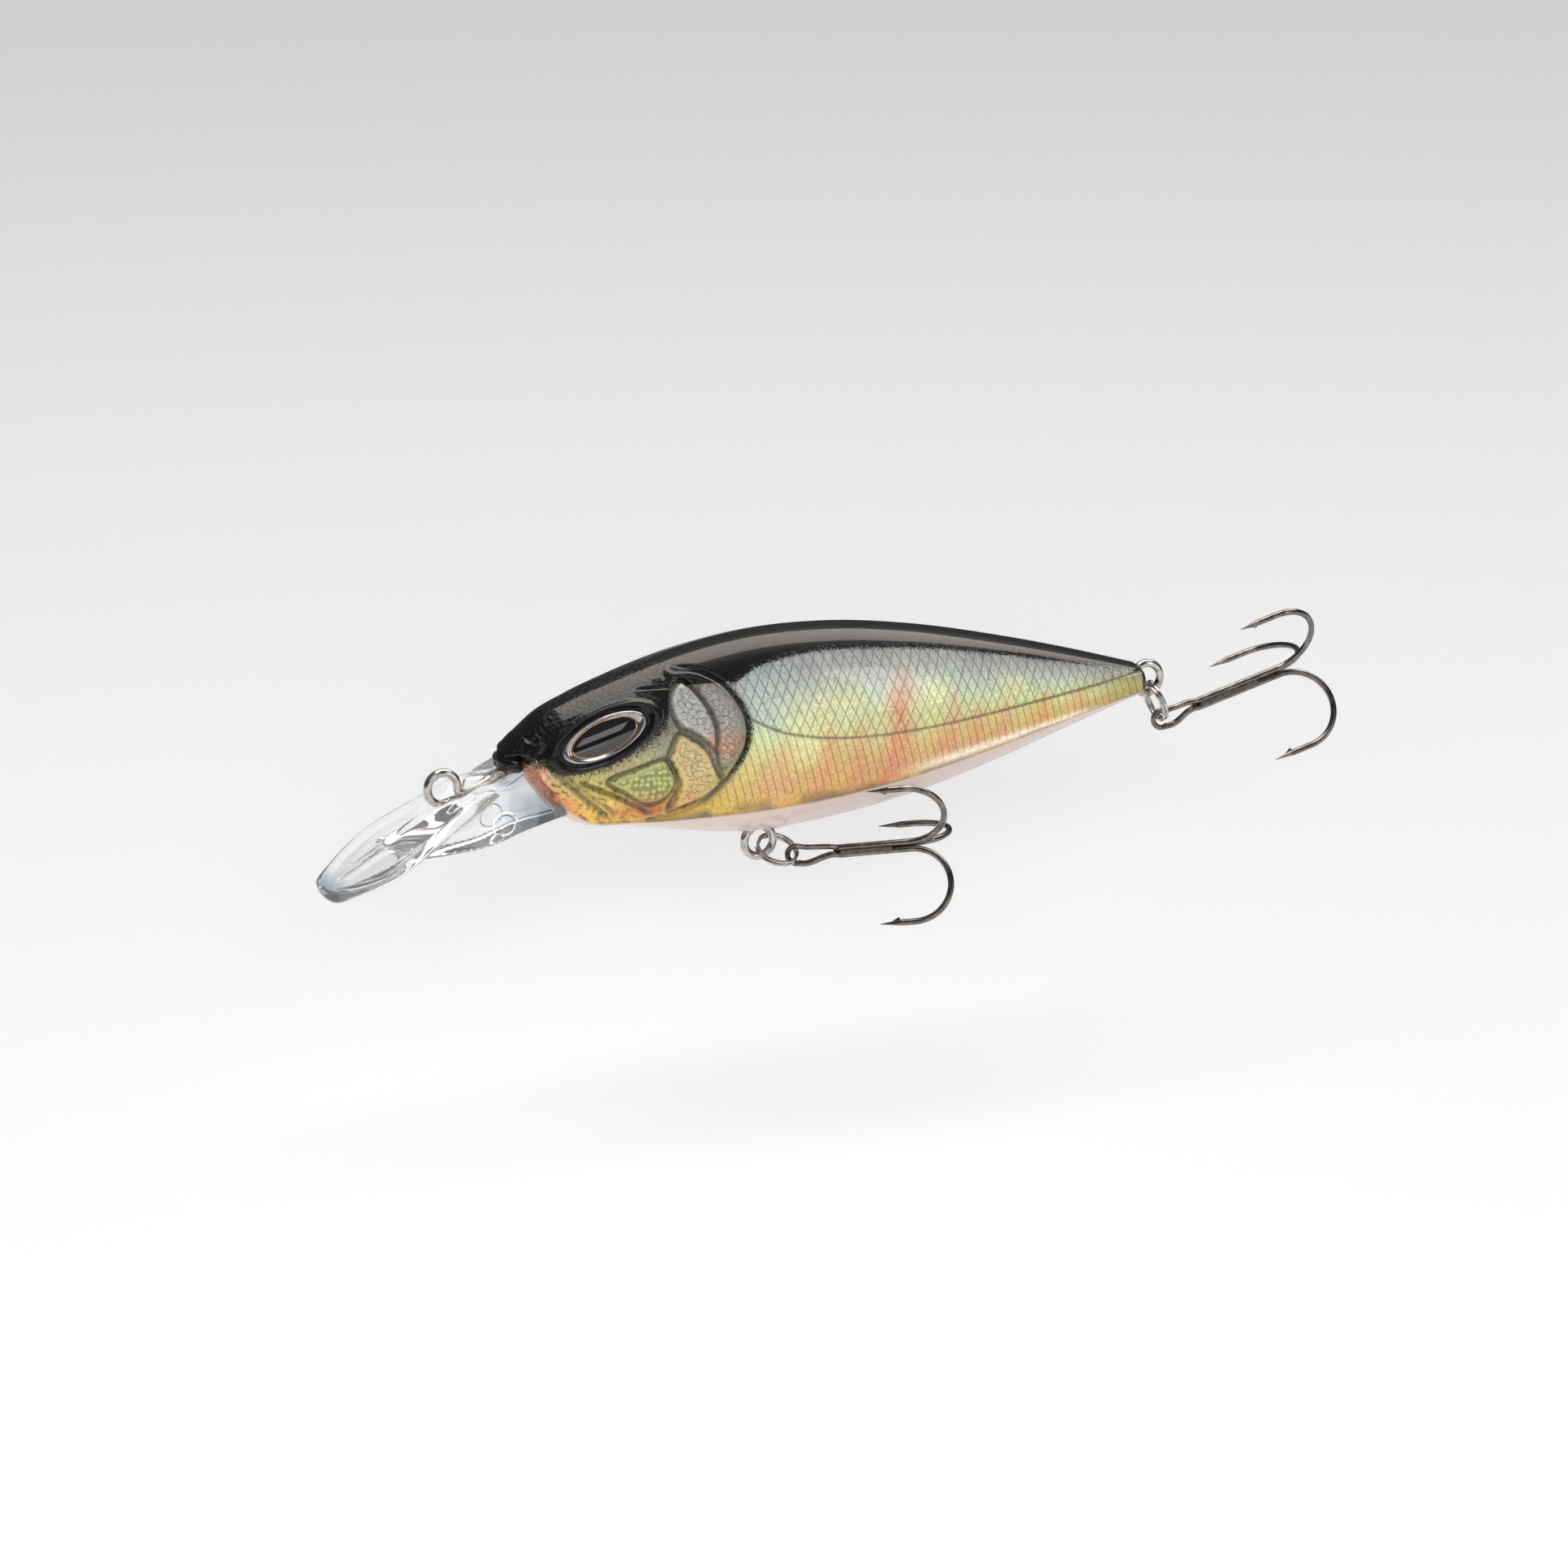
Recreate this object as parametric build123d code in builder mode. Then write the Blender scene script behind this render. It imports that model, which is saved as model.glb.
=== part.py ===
"""Crankbait lure: two moulded shells, a clear diving lip, wire eyes, eyes, weights, rings and trebles.

Millimetres. +X runs from the nose to the tail, -Y is the lure's left flank, +Z is its back.
The origin is the centre of the line-tie eye that stands on the diving lip.
"""
from build123d import *
import os
from math import acos, atan2, cos, degrees, hypot, radians, sin, sqrt

os.makedirs("parts", exist_ok=True)

# ---------------------------------------------------------------- driving dimensions
# Hull stations: x, top, bottom, height of the flank's lower edge, half width
HULL_STATIONS = [
    (6.2, 4.0, 2.1, 2.7, 1.5),
    (8.0, 5.0, 0.9, 1.7, 2.7),
    (10.5, 7.0, -2.3, -1.2, 3.9),
    (14.0, 8.6, -4.8, -3.9, 5.0),
    (19.0, 10.3, -5.8, -4.6, 5.9),
    (26.0, 12.2, -7.3, -4.9, 6.3),
    (34.0, 13.4, -8.4, -4.9, 6.4),
    (43.0, 13.4, -8.0, -4.4, 6.2),
    (53.0, 12.1, -6.5, -3.1, 5.6),
    (63.0, 9.9, -4.0, -1.2, 4.6),
    (72.0, 7.5, -1.2, 0.7, 3.6),
    (81.0, 4.8, 1.6, 2.4, 2.5),
]
# Section shape above the flank's lower edge: (height share, half-width share), from the ridge down
FLANK_SHAPE = [
    (1.0, 0.0),
    (0.965, 0.33),
    (0.88, 0.62),
    (0.72, 0.86),
    (0.5, 0.985),
    (0.32, 1.0),
    (0.15, 0.955),
    (0.0, 0.84),
]
# Section shape below it: (depth share, share of the edge's half width), from the edge down
BELLY_SHAPE = [(0.0, 1.0), (0.35, 0.80), (0.70, 0.50), (0.92, 0.24), (1.0, 0.0)]

WALL = 1.3
CAVITY_X = (22.5, 26.0, 34.0, 43.0, 53.0, 63.0, 72.5)
PIN_POSTS = [(30.0, 8.2), (50.0, 8.0), (67.0, 3.6)]
POST_RADIUS = 1.7
PIN_RADIUS = 0.8
PIN_LENGTH = 1.6
PIN_GAP = 0.05
SOCKET_SPARE = 0.3

# Wire eyes
WIRE = 0.90
LOOP_RADIUS = 1.65
LEG_GAP = 1.0
NECK_RADIUS = 0.9
BORE_RADIUS = 1.24
BELLY_EYE = (35.6, 0.0, -9.75)
TAIL_EYE = (81.8, 0.0, 3.1)
BELLY_LEG = 6.4
TAIL_LEG = 5.6
FOOT_RADIUS = 0.6
FOOT_LENGTH = 0.3
HANGER_BOSS_WIDTH = 4.8
HANGER_BOSS_COVER = 1.8

# Diving lip: s runs from the tip towards the head, h stands square to the plate
LIP_TIP = (-13.3, 0.0, -9.7)
LIP_ANGLE = 29.5
LIP_TOP = 0.6
LIP_BOTTOM = -0.8
LIP_RIM = 0.5
LIP_OUTLINE = [
    (0.0, 0.0),
    (0.6, 2.5),
    (2.4, 4.2),
    (5.0, 5.6),
    (8.0, 6.5),
    (11.0, 6.3),
    (14.5, 5.4),
    (18.5, 4.4),
    (22.5, 3.8),
]
# Ridge, wire housing and tongue as (s, h) outlines with their half widths
RIDGE_PROFILE = [(1.5, 0.3), (5.0, 0.95), (12.5, 1.15), (13.8, 0.3)]
RIDGE_HALF_WIDTH = 0.7
HOUSING_PROFILE = [(18.0, 0.3), (18.9, 1.9), (23.5, 2.4), (24.5, 0.3)]
HOUSING_HALF_WIDTH = 1.1
TONGUE_PROFILE = [(19.0, -2.4), (27.0, -2.4), (27.0, 1.0), (19.0, 0.4)]
TONGUE_HALF_WIDTH = 3.0
# Wedge under the chin as an (x, z) outline, with a round ejector mark on each side
NECK_PROFILE = [
    (-5.2, -5.75),
    (-1.0, -6.3),
    (3.5, -5.8),
    (7.5, -4.7),
    (10.5, -4.3),
    (13.2, -4.4),
    (12.0, 2.0),
    (7.0, 1.2),
]
NECK_HALF_WIDTH = 3.9
MARK_CENTRE = (5.4, -3.6)
MARK_RADIUS = 1.3
MARK_DEPTH = 0.15

# Line-tie wire behind its eye
TIE_NECK_ANGLE = -34.0
TIE_BEND_RADIUS = 1.4
TIE_LEG = 6.6

# Fish eye
EYE_CENTRE = (16.0, 4.9, 4.8)
EYE_YAW = 13.0
EYE_TILT = 12.0
EYE_SLANT = 23.0
EYE_LONG = 4.85
EYE_SHORT = 2.1
EYE_DEPTH = 1.1
EYE_FIT = 0.12
IRIS_THICK = 0.3
LENS_THICK = 1.15
LENS_ROUNDING = 0.7
POCKET_REACH = 6.0

# Weights inside the hull
BALLAST_CENTRE = (27.6, 0.0, -2.8)
BALLAST_RADIUS = 2.7
BALLAST_LENGTH = 8.6
BALLAST_CHAMFER = 0.3
CUP_WALL = 1.0
RATTLE_RADIUS = 1.6
RATTLE_GAP = 0.08
RATTLE_HEIGHT = -2.0
RATTLE_CELLS = [(46.0, 52.4), (53.8, 60.2)]
RATTLE_BLOCK_HALF = 2.8
BULKHEAD = 1.0
# Longer than the hull is wide or deep
PAST_HULL = 40.0

# Split rings: two turns of spring wire
RING_RADIUS = 2.15
RING_WIRE = 0.36
RING_PITCH = 0.40
RING_TURNS = 2
FRONT_RING_OFFSET = (1.8, -0.85, -0.95)
FRONT_RING_NORMAL = (0.13, -0.46, 0.88)
FRONT_RING_PULL = (0.92, -0.27, -0.28)
REAR_RING_HANG = -67.0
REAR_RING_DROP = 2.92
REAR_RING_PULL = (0.34, -0.03, -0.94)

# Treble hooks: s runs along the shank from the eye's outer end
HOOK_WIRE = 0.68
BUNDLE_RADIUS = 0.45
HOOK_EYE_RADIUS = 0.95
HOOK_EYE_SEAT = 1.3
SHANK_START = 5.8
THIRD_START = 5.2
WIRES_MEET = 4.6
POINT_LENGTH = 2.3
POINT_RADIUS = 0.03
# Barb as (distance behind the point, distance in from the prong's axis)
BARB_PROFILE = [(1.2, 0.15), (2.2, 0.25), (2.05, 0.62)]
BARB_HALF_WIDTH = 0.09
BRAZE_START = 6.0
BRAZE_RADIUS = 0.62
# Front and rear sizes: s where the bend starts, bend radius, s of the point, s where the braze ends
FRONT_HOOK_SIZE = (13.4, 3.95, 9.6, 11.4)
REAR_HOOK_SIZE = (15.6, 4.25, 11.1, 12.9)
FRONT_TREBLE_YAW = -28.4
FRONT_TREBLE_PITCH = 6.0
REAR_TREBLE_YAW = -6.3
REAR_TREBLE_PITCH = 17.2


# ---------------------------------------------------------------- helpers
def save(part, label):
    """Name a finished piece and write its STEP file."""
    part.label = label
    export_step(part, f"parts/{label}.step")


def hull_values(x):
    """Top, bottom, edge height and half width of the hull at x, between its stations."""
    for low, high in zip(HULL_STATIONS, HULL_STATIONS[1:]):
        if low[0] <= x <= high[0]:
            share = (x - low[0]) / (high[0] - low[0])
            return [a + (b - a) * share for a, b in zip(low[1:], high[1:])]


def hull_section(x, inset):
    """Face of the hull's +Y half at x, with its outline moved in by inset."""
    top, bottom, edge, half = hull_values(x)
    top -= inset
    bottom += inset * 1.15
    edge += inset * 0.3
    half -= inset
    flank = [(half * w, edge + (top - edge) * h) for h, w in FLANK_SHAPE]
    belly = [(flank[-1][0] * w, edge + (bottom - edge) * d) for d, w in BELLY_SHAPE]
    with BuildSketch(Plane.YZ.offset(x)) as section:
        with BuildLine():
            Spline(*flank, tangents=[(1, 0), (-0.5, -1)])
            Spline(*belly, tangents=[(-1, -1), (-1, 0)])
            Line(belly[-1], flank[0])
        make_face()
    return section.sketch


def eyelet_arcs(upper_bend=0.0):
    """Draw a round wire eye about the active plane's origin, its neck along local +X."""
    half_gap = LEG_GAP / 2
    offset = half_gap + NECK_RADIUS
    reach = sqrt((LOOP_RADIUS + NECK_RADIUS) ** 2 - offset ** 2)
    lean = degrees(atan2(offset, reach))
    CenterArc((reach, offset), NECK_RADIUS, 270 + upper_bend, lean - 90 - upper_bend)
    CenterArc((0, 0), LOOP_RADIUS, lean, 360 - 2 * lean)
    CenterArc((reach, -offset), NECK_RADIUS, 180 - lean, lean - 90)
    return reach, half_gap


def hanger(centre, neck_angle, leg):
    """Wire hanger: an eye in the mid-plane, two straight legs and two outward feet."""
    turn = radians(neck_angle)
    plane = Plane(origin=centre, x_dir=(cos(turn), 0, sin(turn)), z_dir=(0, -1, 0))
    with BuildPart() as wire:
        with BuildLine(plane) as path:
            reach, half_gap = eyelet_arcs()
            for side in (1, -1):
                foot = half_gap + FOOT_RADIUS
                Line((reach, side * half_gap), (leg, side * half_gap))
                CenterArc((leg, side * foot), FOOT_RADIUS, -90 * side, 90 * side)
                Line((leg + FOOT_RADIUS, side * foot), (leg + FOOT_RADIUS, side * (foot + FOOT_LENGTH)))
        start = path.line @ 0
        with BuildSketch(Plane(origin=start, z_dir=path.line % 0)):
            Circle(WIRE / 2)
        sweep(path=path.line)
    return wire.part


def split_ring(centre, normal, start):
    """Two flat turns of spring wire about the normal, wound upright and then laid in place."""
    rise = RING_PITCH * RING_TURNS
    with BuildPart() as ring:
        with BuildLine() as coil:
            Helix(pitch=RING_PITCH, height=rise, radius=RING_RADIUS, center=(0, 0, -rise / 2))
        with BuildSketch(Plane(origin=coil.line @ 0, z_dir=coil.line % 0)):
            Circle(RING_WIRE / 2)
        sweep(path=coil.line, is_frenet=True)
    return Plane(origin=centre, x_dir=start, z_dir=normal).location * ring.part


def prong(frame, roll, start, size):
    """One hook wire: shank, round bend, conical point and barb, in the radial plane at roll."""
    bend_start, bend_radius, point_end, _ = size
    point_start = point_end + POINT_LENGTH
    turn = radians(roll)
    radial = frame.y_dir * cos(turn) + frame.z_dir * sin(turn)
    plane = Plane(origin=frame.origin, x_dir=frame.x_dir, z_dir=frame.x_dir.cross(radial))
    far = BUNDLE_RADIUS + 2 * bend_radius
    wire_radius = HOOK_WIRE / 2
    with BuildPart() as hook:
        with BuildLine(plane) as path:
            Line((start, BUNDLE_RADIUS), (bend_start, BUNDLE_RADIUS))
            CenterArc((bend_start, BUNDLE_RADIUS + bend_radius), bend_radius, -90, 180)
            Line((bend_start, far), (point_start, far))
        with BuildSketch(Plane(origin=path.line @ 0, z_dir=path.line % 0)):
            Circle(wire_radius)
        sweep(path=path.line)
        tip = plane.from_local_coords((point_start, far))
        with Locations(Plane(origin=tip, z_dir=-frame.x_dir)):
            up_from_base = (Align.CENTER, Align.CENTER, Align.MIN)
            Cone(wire_radius, POINT_RADIUS, POINT_LENGTH, align=up_from_base)
        with BuildSketch(plane):
            with BuildLine():
                barb = [(point_end + behind, far - inward) for behind, inward in BARB_PROFILE]
                Polyline(*barb, close=True)
            make_face()
        extrude(amount=BARB_HALF_WIDTH, both=True)
    return hook.part


def hook_pair(frame, size):
    """The doubled wire: the eye and two prongs bent from one length."""
    spread = BUNDLE_RADIUS * cos(radians(30))
    centre = HOOK_EYE_RADIUS + HOOK_WIRE / 2
    run = WIRES_MEET - centre
    touch = degrees(atan2(spread, run) + acos(HOOK_EYE_RADIUS / hypot(run, spread)))
    leave_x = cos(radians(touch))
    leave_y = sin(radians(touch))
    prongs = [prong(frame, roll, SHANK_START, size) for roll in (210, 330)]
    with BuildPart() as pair:
        with BuildLine(frame.offset(-BUNDLE_RADIUS / 2)) as path:
            CenterArc((centre, 0), HOOK_EYE_RADIUS, touch, 360 - 2 * touch)
            for side in (1, -1):
                begin = (centre + HOOK_EYE_RADIUS * leave_x, side * HOOK_EYE_RADIUS * leave_y)
                end = (SHANK_START, side * spread)
                Spline(begin, end, tangents=[(leave_y, -side * leave_x), (1, 0)])
        with BuildSketch(Plane(origin=path.line @ 0, z_dir=path.line % 0)):
            Circle(HOOK_WIRE / 2)
        sweep(path=path.line)
        for piece in prongs:
            add(piece)
    return pair.part


def treble_frame(seat, yaw, pitch):
    """Plane of a treble's eye: local X along the shank, local Z towards the brazed third prong."""
    turn = radians(yaw)
    rise = radians(pitch)
    shank = Vector(cos(rise) * cos(turn), cos(rise) * sin(turn), sin(rise))
    third = Vector(-sin(turn), cos(turn), 0)
    return Plane(origin=seat - shank * HOOK_EYE_SEAT, x_dir=shank, z_dir=third)


def treble(name, frame, size):
    """Write the three pieces of a treble hook: doubled wire, third hook and braze."""
    pair = hook_pair(frame, size)
    third = prong(frame, 90, THIRD_START, size)
    across_shank = Plane(origin=frame.from_local_coords((BRAZE_START, 0, 0)), z_dir=frame.x_dir)
    with BuildPart() as braze:
        with BuildSketch(across_shank):
            Circle(BRAZE_RADIUS)
        extrude(amount=size[3] - BRAZE_START)
        add(pair, mode=Mode.SUBTRACT)
        add(third, mode=Mode.SUBTRACT)
    save(pair, f"{name}_hook_pair")
    save(third, f"{name}_hook_third")
    save(braze.part, f"{name}_hook_braze")


# ---------------------------------------------------------------- hull half and its hollow
hull_faces = [hull_section(station[0], 0.0) for station in HULL_STATIONS]
hollow_faces = [hull_section(x, WALL) for x in CAVITY_X]
with BuildPart() as hull_half:
    for face in hull_faces:
        add(face)
    loft()

with BuildPart() as hollow_half:
    for face in hollow_faces:
        add(face)
    loft()
    # Posts for the alignment pins run from the wall to the seam
    with Locations(*[(x, 0, z) for x, z in PIN_POSTS]):
        Cylinder(POST_RADIUS, PAST_HULL, rotation=(90, 0, 0), mode=Mode.SUBTRACT)
    # Cup round the ballast slug
    with Locations(BALLAST_CENTRE):
        Cylinder(BALLAST_RADIUS + CUP_WALL, PAST_HULL, rotation=(90, 0, 0), mode=Mode.SUBTRACT)
    # Boss that grips the belly hanger's legs
    with Locations((BELLY_EYE[0], 0, BELLY_EYE[2])):
        Box(HANGER_BOSS_WIDTH, PAST_HULL, 2 * (BELLY_LEG + HANGER_BOSS_COVER), mode=Mode.SUBTRACT)
    # Rattle block along the keel, with a bulkhead at each end
    cells_low = RATTLE_CELLS[0][0] - BULKHEAD
    cells_high = RATTLE_CELLS[-1][1] + BULKHEAD
    cells_middle = (cells_low + cells_high) / 2
    block_top = RATTLE_HEIGHT + RATTLE_RADIUS + BULKHEAD
    with Locations((cells_middle, 0, block_top - PAST_HULL / 2)):
        Box(cells_high - cells_low, 2 * RATTLE_BLOCK_HALF, PAST_HULL, mode=Mode.SUBTRACT)
    with Locations((cells_low - BULKHEAD / 2, 0, 0), (cells_high + BULKHEAD / 2, 0, 0)):
        Box(BULKHEAD, PAST_HULL, PAST_HULL, mode=Mode.SUBTRACT)

# ---------------------------------------------------------------- wire eyes
belly_hanger = hanger(BELLY_EYE, 90, BELLY_LEG)
save(belly_hanger, "belly_hanger")
tail_hanger = hanger(TAIL_EYE, 180, TAIL_LEG)
save(tail_hanger, "tail_hanger")

tie_turn = radians(TIE_NECK_ANGLE)
tie_plane = Plane(origin=(0, 0, 0), x_dir=(cos(tie_turn), 0, sin(tie_turn)), z_dir=(0, -1, 0))
tie_bend = LIP_ANGLE - TIE_NECK_ANGLE
tie_ahead = (cos(radians(tie_bend)), sin(radians(tie_bend)))
with BuildPart() as line_tie_wire:
    with BuildLine(tie_plane) as tie_path:
        tie_reach, tie_half_gap = eyelet_arcs(upper_bend=tie_bend)
        CenterArc((tie_reach, TIE_BEND_RADIUS), TIE_BEND_RADIUS + tie_half_gap, 270, tie_bend)
        for radius in (TIE_BEND_RADIUS - tie_half_gap, TIE_BEND_RADIUS + tie_half_gap):
            leg_start = (tie_reach + radius * tie_ahead[1], TIE_BEND_RADIUS - radius * tie_ahead[0])
            leg_end = (leg_start[0] + TIE_LEG * tie_ahead[0], leg_start[1] + TIE_LEG * tie_ahead[1])
            Line(leg_start, leg_end)
    with BuildSketch(Plane(origin=tie_path.line @ 0, z_dir=tie_path.line % 0)):
        Circle(WIRE / 2)
    sweep(path=tie_path.line)
    # The eye's inner side is coined to a narrow round land
    Cylinder(BORE_RADIUS, 2 * WIRE, rotation=(90, 0, 0), mode=Mode.SUBTRACT)
save(line_tie_wire.part, "line_tie_wire")

# ---------------------------------------------------------------- diving lip
lip_turn = radians(LIP_ANGLE)
along_lip = (cos(lip_turn), 0, sin(lip_turn))
square_to_lip = (-sin(lip_turn), 0, cos(lip_turn))
lip_plane = Plane(origin=LIP_TIP, x_dir=along_lip, z_dir=square_to_lip)
lip_side = Plane(origin=LIP_TIP, x_dir=along_lip, z_dir=(0, -1, 0))
hull_mirrored = mirror(hull_half.part, about=Plane.XZ)
with BuildPart() as diving_lip:
    with BuildSketch(lip_plane.offset(LIP_BOTTOM)):
        with BuildLine():
            port_side = [(s, -y) for s, y in reversed(LIP_OUTLINE[1:])]
            Spline(*port_side, *LIP_OUTLINE)
            Line(LIP_OUTLINE[-1], port_side[0])
        make_face()
    extrude(amount=LIP_TOP - LIP_BOTTOM)
    fillet(diving_lip.edges().filter_by(GeomType.BSPLINE), LIP_RIM)
    # Low stiffening ridge from the tip to the eye, and the housing that grips the eye's neck
    raised = ((RIDGE_PROFILE, RIDGE_HALF_WIDTH), (HOUSING_PROFILE, HOUSING_HALF_WIDTH))
    for profile, half_width in raised:
        with BuildSketch(lip_side):
            with BuildLine():
                Polyline(*profile, close=True)
            make_face()
        extrude(amount=half_width, both=True)
    # Wedge that carries the plate under the chin
    with BuildSketch(Plane.XZ):
        with BuildLine():
            Polyline(*NECK_PROFILE, close=True)
        make_face()
    extrude(amount=NECK_HALF_WIDTH, both=True)
    with Locations(*[(MARK_CENTRE[0], side * NECK_HALF_WIDTH, MARK_CENTRE[1]) for side in (-1, 1)]):
        Cylinder(MARK_RADIUS, 2 * MARK_DEPTH, rotation=(90, 0, 0), mode=Mode.SUBTRACT)
    add(hull_half.part, mode=Mode.SUBTRACT)
    add(hull_mirrored, mode=Mode.SUBTRACT)
    # Tongue that seats between the shells
    with BuildSketch(lip_side):
        with BuildLine():
            Polyline(*TONGUE_PROFILE, close=True)
        make_face()
    extrude(amount=TONGUE_HALF_WIDTH, both=True)
    add(line_tie_wire.part, mode=Mode.SUBTRACT)
save(diving_lip.part, "diving_lip")


# ---------------------------------------------------------------- fish eyes
def eye_plane(side):
    """Plane on the head's cheek, local X aft, local Z out of the head."""
    yaw = radians(EYE_YAW)
    tilt = radians(EYE_TILT)
    centre = (EYE_CENTRE[0], side * EYE_CENTRE[1], EYE_CENTRE[2])
    outward = Vector(-sin(yaw) * cos(tilt), side * cos(yaw) * cos(tilt), sin(tilt))
    return Plane(origin=centre, x_dir=(cos(yaw), side * sin(yaw), 0), z_dir=outward)


def eye_disc(side, base, thick, inset, rounding):
    """Elliptic disc in the eye's plane, from base up by thick."""
    with BuildPart() as disc:
        with BuildSketch(eye_plane(side).offset(base)):
            Ellipse(EYE_LONG - inset, EYE_SHORT - inset, rotation=-side * EYE_SLANT)
        extrude(amount=thick)
        if rounding:
            outward = Axis(eye_plane(side).origin, eye_plane(side).z_dir)
            fillet(disc.faces().sort_by(outward)[-1].edges(), rounding)
    return disc.part


for side, side_name in ((-1, "left"), (1, "right")):
    save(eye_disc(side, -EYE_DEPTH, IRIS_THICK, EYE_FIT, 0), f"eye_iris_{side_name}")
    lens = eye_disc(side, IRIS_THICK - EYE_DEPTH, LENS_THICK, EYE_FIT, LENS_ROUNDING)
    save(lens, f"eye_lens_{side_name}")

# ---------------------------------------------------------------- weights
with BuildPart() as belly_ballast:
    with Locations(BALLAST_CENTRE):
        Cylinder(BALLAST_RADIUS, BALLAST_LENGTH, rotation=(90, 0, 0))
    chamfer(belly_ballast.edges(), BALLAST_CHAMFER)
save(belly_ballast.part, "belly_ballast")

for (low, high), end in zip(RATTLE_CELLS, ("front", "rear")):
    with BuildPart() as rattle_ball:
        with Locations(((low + high) / 2, 0, RATTLE_HEIGHT)):
            Sphere(RATTLE_RADIUS)
    save(rattle_ball.part, f"rattle_ball_{end}")


# ---------------------------------------------------------------- shells
def shell(side):
    """One moulded half of the hull, on the side of y's sign."""
    if side > 0:
        outer, hollow = hull_half.part, hollow_half.part
    else:
        outer, hollow = hull_mirrored, mirror(hollow_half.part, about=Plane.XZ)
    pocket = eye_disc(side, -EYE_DEPTH, POCKET_REACH, 0.0, 0)
    wires = (belly_hanger, tail_hanger, line_tie_wire.part)
    with BuildPart() as half:
        add(outer)
        for piece in (hollow, diving_lip.part, belly_ballast.part, pocket, *wires):
            add(piece, mode=Mode.SUBTRACT)
        for low, high in RATTLE_CELLS:
            with Locations(((low + high) / 2, 0, RATTLE_HEIGHT)):
                Cylinder(RATTLE_RADIUS + RATTLE_GAP, high - low, rotation=(0, 90, 0), mode=Mode.SUBTRACT)
        pin_mode, pin_radius, pin_length = Mode.ADD, PIN_RADIUS, PIN_LENGTH
        if side > 0:
            pin_mode = Mode.SUBTRACT
            pin_radius = PIN_RADIUS + PIN_GAP
            pin_length = PIN_LENGTH + SOCKET_SPARE
        with Locations(*[(x, 0, z) for x, z in PIN_POSTS]):
            Cylinder(pin_radius, 2 * pin_length, rotation=(90, 0, 0), mode=pin_mode)
    return half.part


save(shell(-1), "body_shell_left")
save(shell(1), "body_shell_right")

# ---------------------------------------------------------------- rings and trebles
front_ring_centre = Vector(*BELLY_EYE) + Vector(*FRONT_RING_OFFSET)
front_normal = Vector(*FRONT_RING_NORMAL).normalized()
front_pull = Vector(*FRONT_RING_PULL)
front_pull = (front_pull - front_normal * front_pull.dot(front_normal)).normalized()
save(split_ring(front_ring_centre, front_normal, front_pull * -1), "front_split_ring")
front_seat = front_ring_centre + front_pull * RING_RADIUS
front_frame = treble_frame(front_seat, FRONT_TREBLE_YAW, FRONT_TREBLE_PITCH)
treble("front", front_frame, FRONT_HOOK_SIZE)

rear_hang = radians(REAR_RING_HANG)
rear_ring_centre = Vector(*TAIL_EYE) + Vector(cos(rear_hang), 0, sin(rear_hang)) * REAR_RING_DROP
rear_pull = Vector(*REAR_RING_PULL).normalized()
rear_normal = Vector(0, -1, 0).cross(rear_pull).normalized()
save(split_ring(rear_ring_centre, rear_normal, rear_pull * -1), "rear_split_ring")
rear_seat = rear_ring_centre + rear_pull * RING_RADIUS
rear_frame = treble_frame(rear_seat, REAR_TREBLE_YAW, REAR_TREBLE_PITCH)
treble("rear", rear_frame, REAR_HOOK_SIZE)
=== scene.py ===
"""Looks for the crankbait lure: printed hull halves, clear lip, foil eyes, wire eyes, rings and trebles."""
import math
import bpy
import numpy as np
from mathutils import Matrix, Vector


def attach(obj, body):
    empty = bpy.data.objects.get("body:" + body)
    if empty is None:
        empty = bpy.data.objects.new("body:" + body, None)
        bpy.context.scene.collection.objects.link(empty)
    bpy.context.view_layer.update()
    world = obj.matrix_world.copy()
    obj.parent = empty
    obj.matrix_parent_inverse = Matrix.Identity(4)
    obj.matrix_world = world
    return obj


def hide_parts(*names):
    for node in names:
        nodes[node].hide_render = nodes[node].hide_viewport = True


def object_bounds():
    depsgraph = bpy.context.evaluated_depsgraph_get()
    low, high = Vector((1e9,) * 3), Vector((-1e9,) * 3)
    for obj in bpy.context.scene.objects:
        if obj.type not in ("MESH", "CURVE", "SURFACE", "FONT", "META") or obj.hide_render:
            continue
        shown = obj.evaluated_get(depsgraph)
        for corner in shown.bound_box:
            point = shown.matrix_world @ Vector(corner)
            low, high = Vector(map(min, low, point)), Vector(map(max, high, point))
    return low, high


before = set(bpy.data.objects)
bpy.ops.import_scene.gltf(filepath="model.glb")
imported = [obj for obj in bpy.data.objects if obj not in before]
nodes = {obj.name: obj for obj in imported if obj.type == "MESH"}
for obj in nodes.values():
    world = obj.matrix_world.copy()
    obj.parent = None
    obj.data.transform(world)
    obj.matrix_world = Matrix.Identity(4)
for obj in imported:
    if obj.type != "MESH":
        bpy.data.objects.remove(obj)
cad_bounds = [list(map(float, corner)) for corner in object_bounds()]
MM = 0.001

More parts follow.
